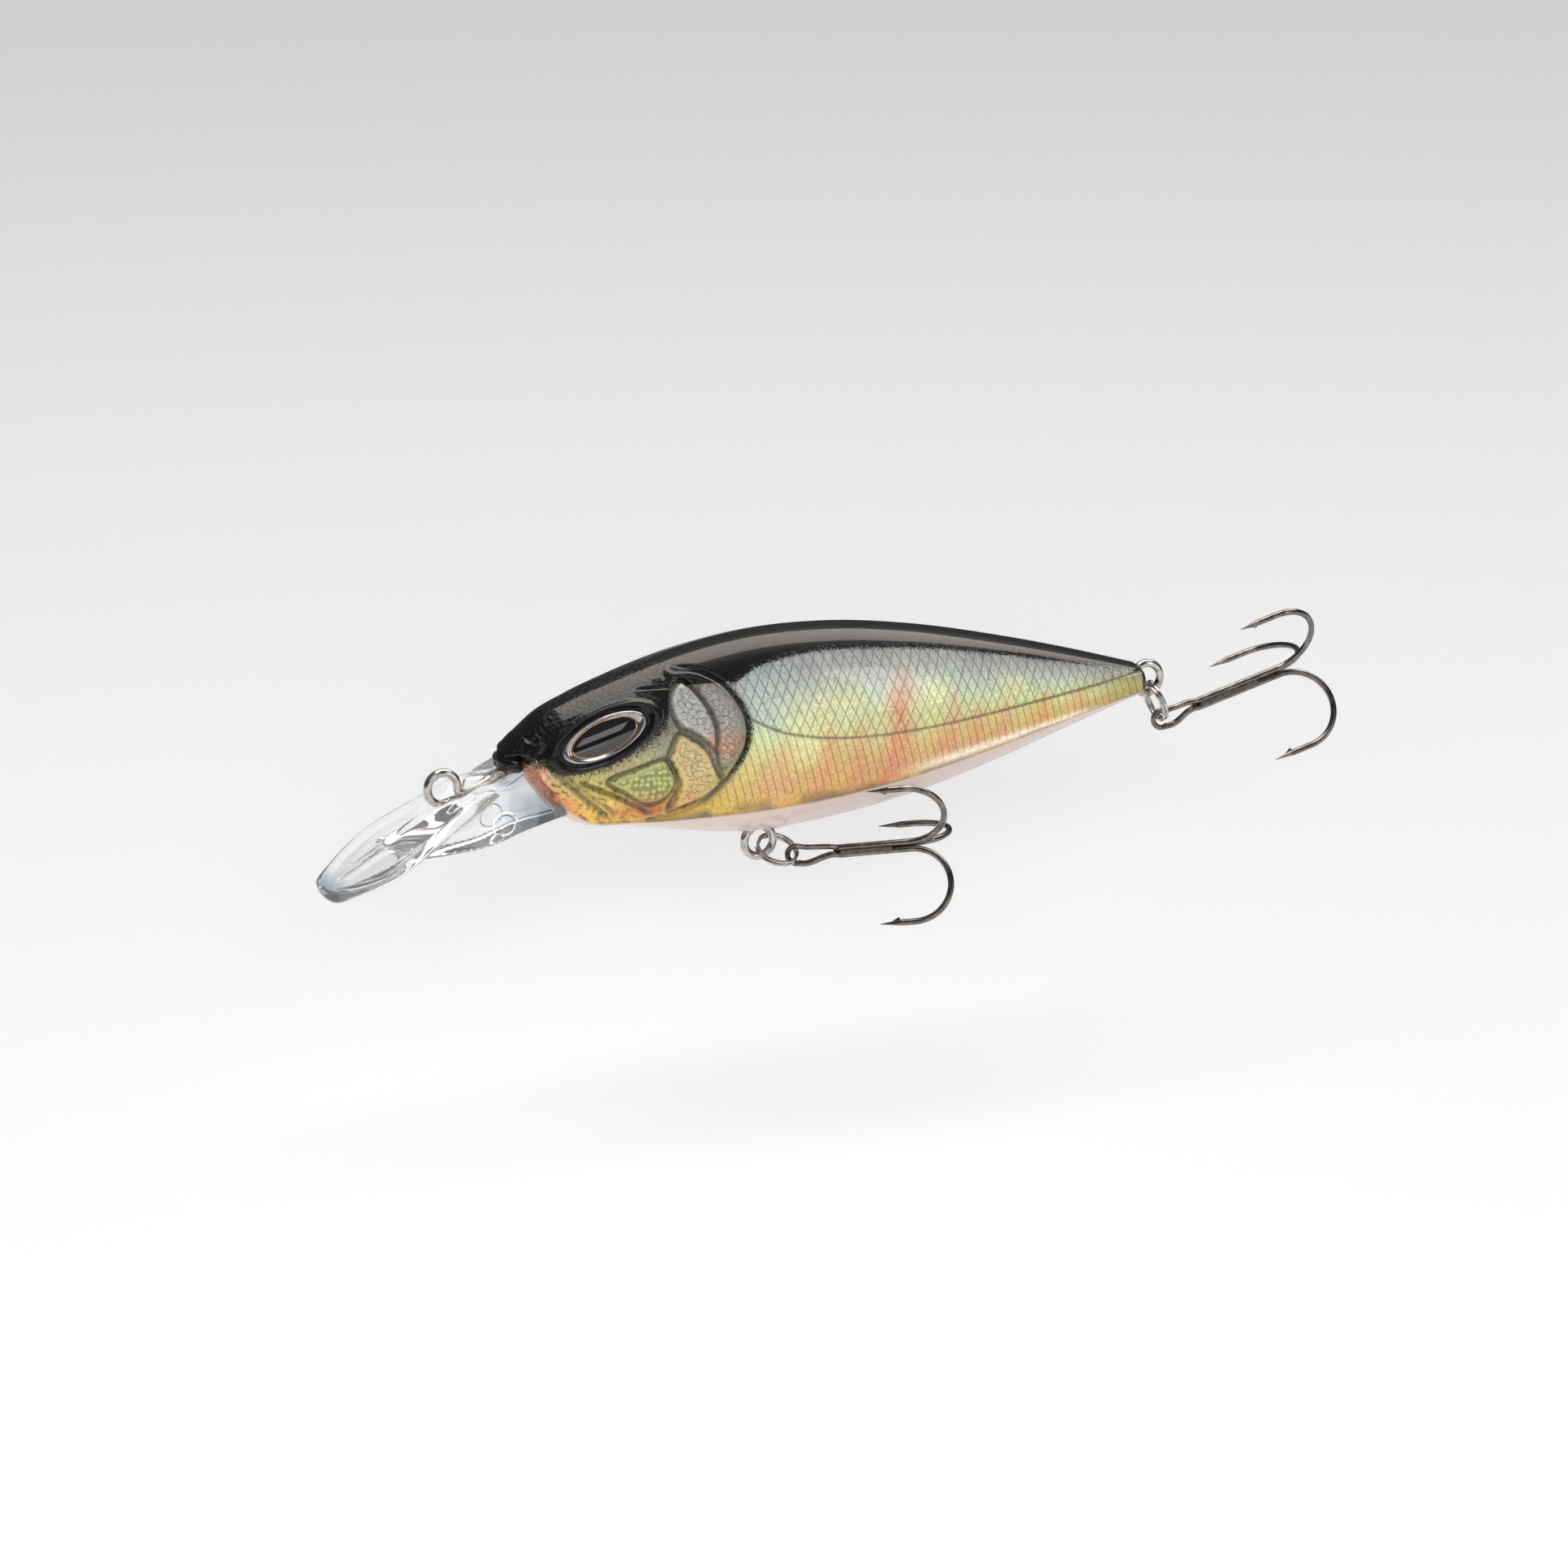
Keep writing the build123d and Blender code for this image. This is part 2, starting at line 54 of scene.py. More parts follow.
# ------------------------------------------------------------------ hull shape (mm)
# The stations are the CAD's; ahead of the first few the nose is drawn as a sharper wedge.
# Each station: x, height of the top, of the bottom and of the flank's lower edge, half width.
STATIONS = np.array([
    (6.2, 4.0, 2.1, 2.7, 1.5),
    (8.0, 5.0, 0.9, 1.7, 2.7),
    (10.5, 7.0, -2.3, -1.2, 3.9),
    (14.0, 8.6, -4.8, -3.9, 5.0),
    (19.0, 10.3, -5.8, -4.6, 5.9),
    (26.0, 12.2, -7.3, -4.9, 6.3),
    (34.0, 13.4, -8.4, -4.9, 6.4),
    (43.0, 13.4, -8.0, -4.4, 6.2),
    (53.0, 12.1, -6.5, -3.1, 5.6),
    (63.0, 9.9, -4.0, -1.2, 4.6),
    (72.0, 7.5, -1.2, 0.7, 3.6),
    (81.0, 4.8, 1.6, 2.4, 2.5),
])
FLANK = [(0, 1), (0.33, 0.965), (0.62, 0.88), (0.86, 0.72), (0.985, 0.5), (1, 0.32), (0.955, 0.15), (0.84, 0)]
BELLY = [(1, 0), (0.8, 0.35), (0.5, 0.7), (0.24, 0.92), (0, 1)]
NOSE, NOSE_END = 5.9, 8.0                # the nose is rounded between these two
TAIL_START, TAIL_CAP = 79.8, 1.2         # where the tail's rounding starts, and its length
TAIL_POWER = 2.6                         # above 2 the tail is blunter than an ellipse


def smoothstep(low, high, value):
    """Smooth rise from 0 at low to 1 at high; a fall when low is the larger."""
    share = np.clip((value - low) / (high - low), 0, 1)
    return share * share * (3 - 2 * share)


def curve(points, per_span=12, closed=False):
    """Smooth line through 2-D points (Catmull-Rom)."""
    pts = [np.array(p, float) for p in points]
    if closed:
        pts = [pts[-1]] + pts + pts[:2]
    else:
        pts = [2 * pts[0] - pts[1]] + pts + [2 * pts[-1] - pts[-2]]
    out = []
    for a, b, c, d in zip(pts, pts[1:], pts[2:], pts[3:]):
        for k in range(per_span):
            t = k / per_span
            square = (2 * a - 5 * b + 4 * c - d) * t ** 2
            cube = (3 * b - a - 3 * c + d) * t ** 3
            out.append(0.5 * (2 * b + (c - a) * t + square + cube))
    if not closed:
        out.append(pts[-2])
    return np.array(out)


def station(x, column):
    """A hull measure at each x, by cubic spans between the stations."""
    xs, ys = STATIONS[:, 0], STATIONS[:, column]
    slope = np.gradient(ys, xs)
    x = np.clip(x, xs[0], xs[-1])
    k = np.clip(np.searchsorted(xs, x) - 1, 0, len(xs) - 2)
    wide = xs[k + 1] - xs[k]
    t = (x - xs[k]) / wide
    return ((2 * t ** 3 - 3 * t ** 2 + 1) * ys[k] + (t ** 3 - 2 * t ** 2 + t) * wide * slope[k]
            + (3 * t ** 2 - 2 * t ** 3) * ys[k + 1] + (t ** 3 - t ** 2) * wide * slope[k + 1])


def resample(line, count):
    """The same line with evenly spaced points."""
    length = np.concatenate([[0], np.cumsum(np.hypot(*np.diff(line, axis=0).T))])
    at = np.linspace(0, length[-1], count)
    return np.stack([np.interp(at, length, line[:, 0]), np.interp(at, length, line[:, 1])], 1)


# Unit outline: flank share and belly share, evenly spaced
AROUND_FLANK, AROUND_BELLY = 210, 46
flank_unit = resample(curve(FLANK) * (1.0, 2.0), AROUND_FLANK) / (1.0, 2.0)
belly_unit = resample(curve(BELLY), AROUND_BELLY)

# Sections along the hull, closer together on the head, where the relief is fine
HEAD_END, HEAD_STEP, FLANK_STEP = 34.0, 0.13, 0.17
xs = np.concatenate([
    NOSE + 2.1 * (1 - np.cos(np.linspace(0, math.pi / 2, 26)[:-1])),
    np.arange(NOSE_END, HEAD_END, HEAD_STEP),
    np.arange(HEAD_END, TAIL_START, FLANK_STEP),
    TAIL_START + TAIL_CAP * np.sin(np.linspace(0, math.pi / 2, 18)),
])
nose_share = np.sqrt(np.clip(1 - ((NOSE_END - np.minimum(xs, NOSE_END)) / (NOSE_END - NOSE)) ** 2, 0, 1))
into_tail = np.clip(xs - TAIL_START, 0, TAIL_CAP) / TAIL_CAP
tail_share = np.clip(1 - into_tail ** TAIL_POWER, 0, 1) ** (1 / TAIL_POWER)
grow = nose_share * tail_share
at = np.maximum(xs, NOSE_END)
top, bottom, edge, half = (station(at, k) for k in (1, 2, 3, 4))
# The caps close on this height: the mouth at the nose, half way up the section at the tail
MOUTH_HEIGHT, MOUTH_DROP = 3.2, 0.9
middle = np.where(xs < 40, MOUTH_HEIGHT, (top + bottom) / 2)
middle = middle - MOUTH_DROP * smoothstep(9.5, 7.0, xs)
# The upper jaw rises almost straight from its tip, and the lower jaw is round
jaw_share = np.clip((xs - NOSE) / (NOSE_END - NOSE), 0, 1) ** 0.75 * tail_share
top = middle + (top - middle) * jaw_share
bottom, edge = (middle + (value - middle) * grow for value in (bottom, edge))
half = half * grow

EDGE_WIDTH = 0.84                        # half width at the flank's lower edge, as a share of the widest
Y = np.concatenate([
    half[:, None] * flank_unit[None, :, 0],
    EDGE_WIDTH * half[:, None] * belly_unit[None, 1:, 0],
], 1)
Z = np.concatenate([
    edge[:, None] + (top - edge)[:, None] * flank_unit[None, :, 1],
    edge[:, None] + (bottom - edge)[:, None] * belly_unit[None, 1:, 1],
], 1)
X = np.repeat(xs[:, None], Y.shape[1], 1)

# Outward normal of the plain hull
du = np.stack([np.gradient(X, axis=0), np.gradient(Y, axis=0), np.gradient(Z, axis=0)], -1)
dv = np.stack([np.gradient(X, axis=1), np.gradient(Y, axis=1), np.gradient(Z, axis=1)], -1)
N = np.cross(dv, du)
N /= np.maximum(np.linalg.norm(N, axis=-1, keepdims=True), 1e-9)
if N[..., 1].mean() < 0:
    N = -N

# ------------------------------------------------------------------ relief on the hull (side view lines, mm)
OUTER_GILL = curve([(24.6, 11.0), (26.8, 10.6), (29.0, 9.4), (30.5, 7.6), (31.5, 5.4), (31.3, 2.6),
                    (29.4, -0.4), (26.7, -2.8), (24.2, -3.9), (20.5, -4.2)])
INNER_GILL = curve([(25.2, 9.4), (27.0, 7.6), (28.1, 5.0), (28.0, 2.6), (28.3, 0.4), (28.5, -0.5)])
UPPER_PLATE = curve([(24.9, 9.6), (26.6, 7.8), (27.8, 5.2), (27.8, 2.8), (27.0, 3.4), (25.2, 4.7),
                     (23.9, 5.5), (23.3, 8.0)], closed=True)
LOWER_PLATE = curve([(23.9, 4.5), (25.3, 3.9), (26.8, 2.6), (28.0, 0.0), (28.4, -0.7), (26.4, -2.2),
                     (24.0, -3.0), (22.6, -3.2), (23.9, -0.7), (22.6, 1.7), (23.0, 3.2)], closed=True)
CHEEK_PLATE = curve([(16.2, 0.2), (19.0, 1.2), (22.0, 2.0), (22.9, 1.2), (23.3, -0.4), (22.2, -2.0),
                     (20.0, -2.4), (18.0, -1.1)], closed=True)
JAW_GROOVES = [
    curve([(9.9, 2.4), (12.6, -0.4), (15.9, -3.3)]),
    curve([(10.6, 2.3), (13.4, -0.4), (16.9, -3.3)]),
    curve([(13.4, 0.2), (16.6, -1.3), (20.4, -3.3)]),
    curve([(7.4, 3.0), (9.2, 0.6), (11.0, -1.4), (12.2, -3.4)]),
]
GROOVE_CUTS = [(0.30, 0.24), (0.16, 0.16), (0.26, 0.2), (0.34, 0.22)]     # depth and width of each
# The first three jaw grooves also get painted shade along them, this dark
GROOVE_SHADE = (0.75, 0.55, 0.8)                                            # how dark the first three are
MOUTH_SLIT = curve([(5.0, 2.9), (7.0, 2.9), (8.8, 2.5)])
BROW = curve([(9.6, 5.6), (12.5, 7.4), (16.0, 8.7), (19.5, 9.2), (22.0, 8.6)])
HANGER_LEGS = (34.0, 37.2)
LATERAL = curve([(31.6, 5.5), (36.0, 3.4), (42.0, 2.2), (50.0, 1.9), (62.0, 2.7), (81.2, 4.7)])
BACK_EDGE = curve([(22.0, 9.6), (29.4, 9.2), (34.0, 10.9), (42.0, 11.6), (54.0, 10.4), (68.0, 7.6),
                   (81.2, 4.6)])
HEAD_EDGE = curve([(5.0, 1.2), (9.0, 2.0), (14.0, 1.2), (18.0, 2.4), (22.4, 5.4), (24.0, 9.3),
                   (30.0, 9.6), (90.0, 9.6)])


def near(line, x, z, closed=False):
    """Distance from each point to a line."""
    best = np.full(x.shape, 1e9)
    ends = np.roll(line, -1, 0) if closed else line[1:]
    for a, b in zip(line if closed else line[:-1], ends):
        d = b - a
        t = np.clip(((x - a[0]) * d[0] + (z - a[1]) * d[1]) / max(d @ d, 1e-12), 0, 1)
        best = np.minimum(best, (x - a[0] - t * d[0]) ** 2 + (z - a[1] - t * d[1]) ** 2)
    return np.sqrt(best)


def inside(line, x, z):
    """Signed distance to a closed line, positive inside."""
    hit = np.zeros(x.shape, bool)
    for a, b in zip(line, np.roll(line, -1, 0)):
        if a[1] != b[1]:
            hit ^= ((a[1] > z) != (b[1] > z)) & (x < (b[0] - a[0]) * (z - a[1]) / (b[1] - a[1]) + a[0])
    return np.where(hit, 1, -1) * near(line, x, z, True)


CELLS = 256                              # cells either way before a random field repeats


def noise(x, z, size, seed):
    """Smooth random field, about -1 to 1, with features of that size."""
    corners = np.random.default_rng(seed).uniform(-1, 1, (CELLS, CELLS))
    u, v = x / size + 80.3, z / size + 90.7
    i, j = np.floor(u).astype(int), np.floor(v).astype(int)
    s, t = smoothstep(0, 1, u - i), smoothstep(0, 1, v - j)
    i0, i1, j0, j1 = i % CELLS, (i + 1) % CELLS, j % CELLS, (j + 1) % CELLS
    return (corners[i0, j0] * (1 - s) * (1 - t) + corners[i1, j0] * s * (1 - t)
            + corners[i0, j1] * (1 - s) * t + corners[i1, j1] * s * t)


def scatter(x, z, size, radius, seed):
    """Distance from the rim of the nearest of many scattered round spots, negative inside."""
    shift = np.random.default_rng(seed).uniform(-0.26, 0.26, (CELLS, CELLS, 2))
    i, j = np.floor(x / size).astype(int), np.floor(z / size).astype(int)
    best = np.full(x.shape, 1e9)
    for a in (-1, 0, 1):
        for b in (-1, 0, 1):
            spot = shift[(i + a) % CELLS, (j + b) % CELLS]
            spot_x, spot_z = (i + a + 0.5 + spot[..., 0]) * size, (j + b + 0.5 + spot[..., 1]) * size
            away = np.hypot(x - spot_x, z - spot_z)
            best = np.minimum(best, away - radius * (1 + 0.5 * spot[..., 0]))
    return best


# Eye pocket: position in the eye's own plane
EYE_CENTRE, EYE_LONG, EYE_SHORT = Vector((16.0, 4.9, 4.8)), 4.85, 2.1
EYE_YAW, EYE_TILT, EYE_SLANT = (math.radians(v) for v in (13.0, 12.0, 23.0))
eye_out = Vector((-math.sin(EYE_YAW) * math.cos(EYE_TILT), math.cos(EYE_YAW) * math.cos(EYE_TILT),
                  math.sin(EYE_TILT)))
eye_aft = Vector((math.cos(EYE_YAW), math.sin(EYE_YAW), 0)).normalized()
eye_rise = eye_out.cross(eye_aft)
if eye_rise.z < 0:
    eye_rise = -eye_rise
eye_major = (eye_aft * math.cos(EYE_SLANT) + eye_rise * math.sin(EYE_SLANT)).normalized()
eye_minor = (eye_rise * math.cos(EYE_SLANT) - eye_aft * math.sin(EYE_SLANT)).normalized()
rel = np.stack([X - EYE_CENTRE.x, Y - EYE_CENTRE.y, Z - EYE_CENTRE.z], -1)
# For each point of the hull: 1 on the eye's rim, height over the eye's base, about the mm from the rim
eye_r = np.hypot(rel @ np.array(eye_major) / EYE_LONG, rel @ np.array(eye_minor) / EYE_SHORT)
eye_h = rel @ np.array(eye_out)
eye_gap = (eye_r - 1) * (EYE_SHORT + EYE_LONG) / 2

# Distance from the moulded lines, depth inside the plates, and how far ahead of the gill cover's rear edge
d_outer, d_inner, d_lateral = (near(shape, X, Z) for shape in (OUTER_GILL, INNER_GILL, LATERAL))
in_upper, in_lower, in_cheek = (inside(shape, X, Z) for shape in (UPPER_PLATE, LOWER_PLATE, CHEEK_PLATE))
d_grooves = [near(groove, X, Z) for groove in JAW_GROOVES]
ahead = np.interp(Z, OUTER_GILL[::-1, 1], OUTER_GILL[::-1, 0]) - X
lateral_z = np.interp(X, LATERAL[:, 0], LATERAL[:, 1])
back_z = np.interp(X, BACK_EDGE[:, 0], BACK_EDGE[:, 1])
head_z = np.interp(X, HEAD_EDGE[:, 0], HEAD_EDGE[:, 1])
# Relief fades out at the ridge and keel, over a shorter way on the narrow nose
side_face = smoothstep(0.5, 1.6, Y * np.maximum(1, 4.5 / np.maximum(half, 0.5))[:, None])
flank_height = np.maximum(top - edge, 0.5)[:, None]
side_face *= smoothstep(0.4, 2.2, (top[:, None] - Z) * np.maximum(1, 8 / flank_height))
flank_share = (Z - edge[:, None]) / flank_height       # 0 at the flank's lower edge, 1 at the ridge

relief = np.zeros(X.shape)
# Gill cover: a raised rounded rim with a sharp step down to the flank behind it
rim = np.exp(-((d_outer - 0.75) / 0.55) ** 2) * (ahead > 0)
relief += 0.40 * rim * smoothstep(-4.6, -3.4, Z)
relief -= 0.42 * np.exp(-(d_outer / 0.24) ** 2) * smoothstep(-4.8, -3.8, Z)
relief += 0.10 * smoothstep(0, 5.0, ahead) * smoothstep(14.0, 8.0, ahead) * (Z < 9)
relief -= 0.26 * np.exp(-(d_inner / 0.2) ** 2)
for distance, rise in ((in_upper, 0.38), (in_lower, 0.34), (in_cheek, 0.38)):
    relief += rise * smoothstep(-0.05, 0.55, distance)
    relief -= 0.26 * np.exp(-((distance + 0.12) / 0.17) ** 2)
    relief += 0.10 * np.exp(-((distance - 0.30) / 0.17) ** 2)
head_skin = smoothstep(-0.2, 0.5, ahead)
beaded = smoothstep(0.35, 0.8, in_upper) + 0.9 * smoothstep(0.4, 0.9, in_lower)
between_gills = (ahead > 0) * (X > 26.6) * (Z > 0.6) * (in_upper < -0.1) * (in_lower < -0.1)
beaded += smoothstep(0.25, 0.6, d_outer - 0.9) * smoothstep(0.2, 0.5, d_inner) * between_gills
beaded = np.clip(beaded, 0, 1)
ring_gap = scatter(X + 0.15 * Z, Z, 0.76, 0.20, 3)
relief += beaded * 0.10 * np.exp(-(ring_gap / 0.09) ** 2)
pebbled = smoothstep(0.3, 0.7, in_cheek)
pebble_gap = scatter(X, Z, 0.62, 0.0, 11)
relief += pebbled * 0.13 * np.exp(-(pebble_gap / 0.20) ** 2)
loose = head_skin * (1 - beaded) * (1 - pebbled) * smoothstep(1.5, -1.0, Z)
relief += loose * 0.05 * np.exp(-(scatter(X, Z, 0.70, 0.0, 12) / 0.2) ** 2)
for d, (depth, width) in zip(d_grooves, GROOVE_CUTS):
    relief -= depth * np.exp(-(d / width) ** 2)
    relief += 0.10 * np.exp(-((d - 0.5) / 0.3) ** 2)
# Nose: a mouth slit over a small round lower lip, and a nostril dimple with a raised rim
relief -= 0.50 * np.exp(-(near(MOUTH_SLIT, X, Z) / 0.22) ** 2) * smoothstep(9.0, 7.6, X)
relief += 0.40 * np.exp(-(np.hypot((X - 6.9) / 1.1, (Z - 1.8) / 0.8)) ** 2)
from_nostril = np.hypot((X - 8.9) / 0.42, (Z - 4.75) / 0.26)
relief -= 0.38 * np.exp(-from_nostril ** 2)
relief += 0.10 * np.exp(-((from_nostril - 1.6) / 0.5) ** 2)
# Eye socket: a brow ring round the pocket and a sunk floor under the eye
relief += 0.30 * np.exp(-((eye_gap - 0.75) / 0.42) ** 2) - 0.12 * np.exp(-((eye_gap - 0.2) / 0.18) ** 2)
# Brow crease running back from above the eye, and the head's shoulder
relief -= 0.10 * np.exp(-(near(BROW, X, Z) / 0.45) ** 2) * side_face
# Lateral line, and the paint step along the flank's lower edge
relief -= 0.14 * np.exp(-(d_lateral / 0.14) ** 2) * (X > 31.4)
low_flank = 0.10 * smoothstep(-0.02, 0.03, flank_share) * smoothstep(0.30, 0.05, flank_share)
relief += low_flank * smoothstep(10, 14, X)
# Faint bosses over the belly hanger's legs
on_keel = smoothstep(0.0, -0.06, flank_share)
for leg in HANGER_LEGS:
    relief += 0.12 * np.exp(-((X - leg) / 0.45) ** 2) * on_keel * smoothstep(0.4, 1.5, Y)
# Where the scales are: crossed lines above the lateral line, single slanted lines below it
above = smoothstep(-0.1, 0.1, Z - lateral_z)
on_flank = smoothstep(0.3, 1.2, -ahead) * smoothstep(0.05, 0.10, flank_share)
on_flank = on_flank * smoothstep(0.1, -0.3, Z - back_z)
relief *= np.where(eye_r < 1.0, 0, 1)
relief *= grow[:, None] ** 0.5

P = np.stack([X, Y, Z], -1) + relief[..., None] * N * np.clip(side_face, 0, 1)[..., None]
# Pocket floor: pull points under the eye back to just below its base
POCKET_DEPTH = 1.25
drop = smoothstep(1.0, 0.94, eye_r) * np.clip(eye_h + POCKET_DEPTH, 0, None)
P -= drop[..., None] * np.array(eye_out)
P[:, 0, 1] = P[:, -1, 1] = 0.0
P[..., 1] = np.maximum(P[..., 1], 0.0)


# ------------------------------------------------------------------ paint, worked out point by point
def srgb(r, g, b):
    """A display colour, 0 to 255, as linear light."""
    c = np.array([r, g, b], float) / 255
    return np.where(c <= 0.04045, c / 12.92, ((c + 0.055) / 1.055) ** 2.4)


def blend(colour, other, share):
    """Mix a display colour into the paint by that share of it at each point."""
    return colour * (1 - share[..., None]) + srgb(*other) * share[..., None]


def shade(value, stops, colours):
    """Colour at each value, by straight steps between display colours."""
    linear = np.array([srgb(*c) for c in colours])
    return np.stack([np.interp(value, stops, linear[:, k]) for k in range(3)], -1)


# Flank: olive, yellow, green and grey, by the share t of the way from its lower edge to the black back
t = np.clip((Z - edge[:, None]) / np.maximum(back_z - edge[:, None], 0.5), 0, 1.2)
wander = 0.05 * noise(X, Z, 4.0, 21) + 0.025 * noise(X, Z, 1.3, 22)
paint = shade(t + wander, [0.0, 0.05, 0.14, 0.28, 0.40, 0.52, 0.66, 0.80, 0.93, 1.05],
              [(108, 100, 38), (200, 162, 50), (202, 172, 80), (202, 184, 106), (206, 204, 134),
               (204, 214, 154), (196, 208, 182), (182, 188, 180), (164, 165, 166), (118, 118, 120)])
# Flame-like bars, strongest in the middle of the flank: x, share of the height reached, strength, width
BARS = [
    (33.6, 0.40, 0.45, 1.3), (36.2, 0.50, 0.40, 1.4), (40.4, 0.56, 0.65, 1.6), (44.6, 0.50, 0.60, 1.3),
    (49.0, 0.80, 0.95, 2.1), (55.4, 0.62, 0.65, 1.4), (59.0, 0.50, 0.55, 1.1), (62.0, 0.52, 0.62, 1.2),
    (67.0, 0.56, 0.62, 1.2), (71.5, 0.56, 0.6, 1.1),
]
bar_wander, bar_grain = 0.5 * noise(X, Z, 1.6, 31), 0.85 + 0.15 * noise(X, Z, 0.8, 32)
for x0, reach, strength, width in BARS:
    lean = x0 + 0.10 * (Z - 1) + bar_wander
    bar = np.exp(-((X - lean) / (width * (1 - 0.35 * t))) ** 2) * smoothstep(reach + 0.12, reach - 0.22, t)
    bar = bar * smoothstep(-0.02, 0.05, t)
    paint = blend(paint, (214, 128, 92), bar * strength * bar_grain)
# Orange and pale yellow clouds, a blue-green patch behind the gill, an orange blush and olive dirt low down
orange = 0.35 * smoothstep(0.35, 0.75, noise(X, Z, 3.0, 33)) * smoothstep(0.05, 0.2, t)
paint = blend(paint, (214, 150, 120), orange * smoothstep(0.6, 0.4, t))
yellow = 0.5 * smoothstep(0.1, 0.8, noise(X, Z, 5.0, 35)) * smoothstep(0.2, 0.4, t) * smoothstep(0.85, 0.6, t)
paint = blend(paint, (232, 226, 156), yellow)
paint = blend(paint, (160, 196, 190), 0.45 * np.exp(-(np.hypot(X - 34.0, Z - 8.0) / 3.0) ** 2))
blush = 0.35 * np.exp(-((t - 0.16) / 0.1) ** 2) * smoothstep(30, 36, X) * smoothstep(66, 56, X)
paint = blend(paint, (216, 150, 118), blush)
dirt = 0.55 * smoothstep(0.2, 0.8, noise(X, Z, 1.5, 34)) * smoothstep(0.14, 0.03, t) * smoothstep(48, 40, X)
paint = blend(paint, (96, 84, 40), dirt)
# Painted highlight: a bright strip low on the rear flank, where light catches the flank's lower edge; olive
# tail
painted_highlight_strip = np.exp(-((t - 0.075) / 0.045) ** 2) * smoothstep(48, 56, X) * smoothstep(76, 70, X)
paint = blend(paint, (244, 238, 214), painted_highlight_strip * 0.9)
paint = blend(paint, (150, 140, 66), smoothstep(70, 79, X) * 0.75 * smoothstep(1.0, 0.6, t))
# Head: yellow-olive cheeks, green pebbled plate over red, grey gill plates, pink jaw front
cheek = shade(Z + 0.5 * noise(X, Z, 1.0, 41), [-4.6, -3.4, -2.0, 0.5, 3.0, 6.0],
              [(190, 148, 48), (222, 178, 60), (206, 180, 70), (180, 168, 92), (150, 146, 116),
               (104, 102, 92)])
paint = paint * (1 - head_skin[..., None]) + cheek * head_skin[..., None]
glow = 0.6 * head_skin * np.exp(-((Z + 2.2) / 1.2) ** 2) * smoothstep(24, 12, X)
paint = blend(paint, (232, 196, 96), glow * (0.6 + 0.6 * noise(X, Z, 0.7, 42)))
specks = 0.55 * head_skin * smoothstep(0.35, 0.75, noise(X, Z, 0.55, 43)) * smoothstep(2.0, 0.0, Z)
paint = blend(paint, (60, 40, 16), specks)
paint = blend(paint, (158, 172, 92), smoothstep(0.0, 0.5, in_cheek) * 0.8)
paint = blend(paint, (178, 110, 66), smoothstep(0.0, 0.5, in_cheek) * smoothstep(-0.6, -2.2, Z) * 0.7)
paint = blend(paint, (176, 70, 44), np.exp(-(np.hypot((X - 20.2) / 3.2, (Z + 3.0) / 0.9)) ** 2) * 0.8)
paint = blend(paint, (176, 175, 172), smoothstep(-0.1, 0.4, in_upper) * 0.9)
behind_plate = head_skin * smoothstep(26.4, 27.2, X) * smoothstep(0.2, 1.6, Z)
paint = blend(paint, (160, 158, 154), behind_plate * 0.8)
paint = blend(paint, (206, 132, 84), behind_plate * 0.6 * smoothstep(5.0, 3.0, Z) * smoothstep(0.8, 2.2, Z))
paint = blend(paint, (214, 184, 116), smoothstep(0.0, 0.5, in_lower) * 0.75)
paint = blend(paint, (196, 122, 70), smoothstep(0.0, 0.6, in_lower) * 0.6 * smoothstep(-0.6, -2.6, Z))
paint = blend(paint, (226, 152, 118), smoothstep(11.6, 9.6, X + 0.35 * Z) * smoothstep(3.2, 1.4, Z))
paint = blend(paint, (214, 120, 70), 0.7 * smoothstep(13.4, 11.4, X + 0.35 * Z) * smoothstep(0.2, -2.0, Z))
# Painted shade: dark lines laid along every groove of the head, where the creases fall into shade
dark = np.exp(-(d_outer / 0.5) ** 2) * smoothstep(-4.4, -2.6, Z)
dark = np.maximum(dark, 0.95 * np.exp(-(d_inner / 0.36) ** 2) * smoothstep(-1.5, 1.0, Z))
for distance in (in_upper, in_lower, in_cheek):
    dark = np.maximum(dark, 0.9 * np.exp(-((distance + 0.14) / 0.26) ** 2))
for groove_shade_share, d in zip(GROOVE_SHADE, d_grooves):
    dark = np.maximum(dark, groove_shade_share * np.exp(-(d / 0.3) ** 2))
paint = blend(paint, (22, 22, 20), np.clip(dark, 0, 1) * 0.9)
# Painted shade along the inside of the gill cover's raised rim
rim_inside_shade = 0.5 * np.exp(-((d_outer - 0.9) / 0.6) ** 2) * (ahead > 0) * smoothstep(-3.0, 2.0, Z)
paint = blend(paint, (60, 58, 52), rim_inside_shade)
paint = blend(paint, (70, 62, 50), 0.75 * np.exp(-(d_lateral / 0.16) ** 2) * (X > 31.4))
# Beads on the gill plates and pebbles on the cheek: painted highlights on the crowns, painted shade in the
# dark rings in and round the beads and between the pebbles
paint = blend(paint, (34, 32, 28), beaded * 0.8 * np.exp(-((ring_gap - 0.14) / 0.06) ** 2))
paint = blend(paint, (48, 45, 40), beaded * 0.5 * np.exp(-((ring_gap + 0.2) / 0.09) ** 2))
paint = blend(paint, (206, 200, 188), beaded * 0.25 * np.exp(-(ring_gap / 0.08) ** 2))
paint = blend(paint, (62, 58, 20), pebbled * 0.55 * smoothstep(0.16, 0.30, pebble_gap))
paint = blend(paint, (222, 220, 140), pebbled * 0.45 * np.exp(-(pebble_gap / 0.13) ** 2))

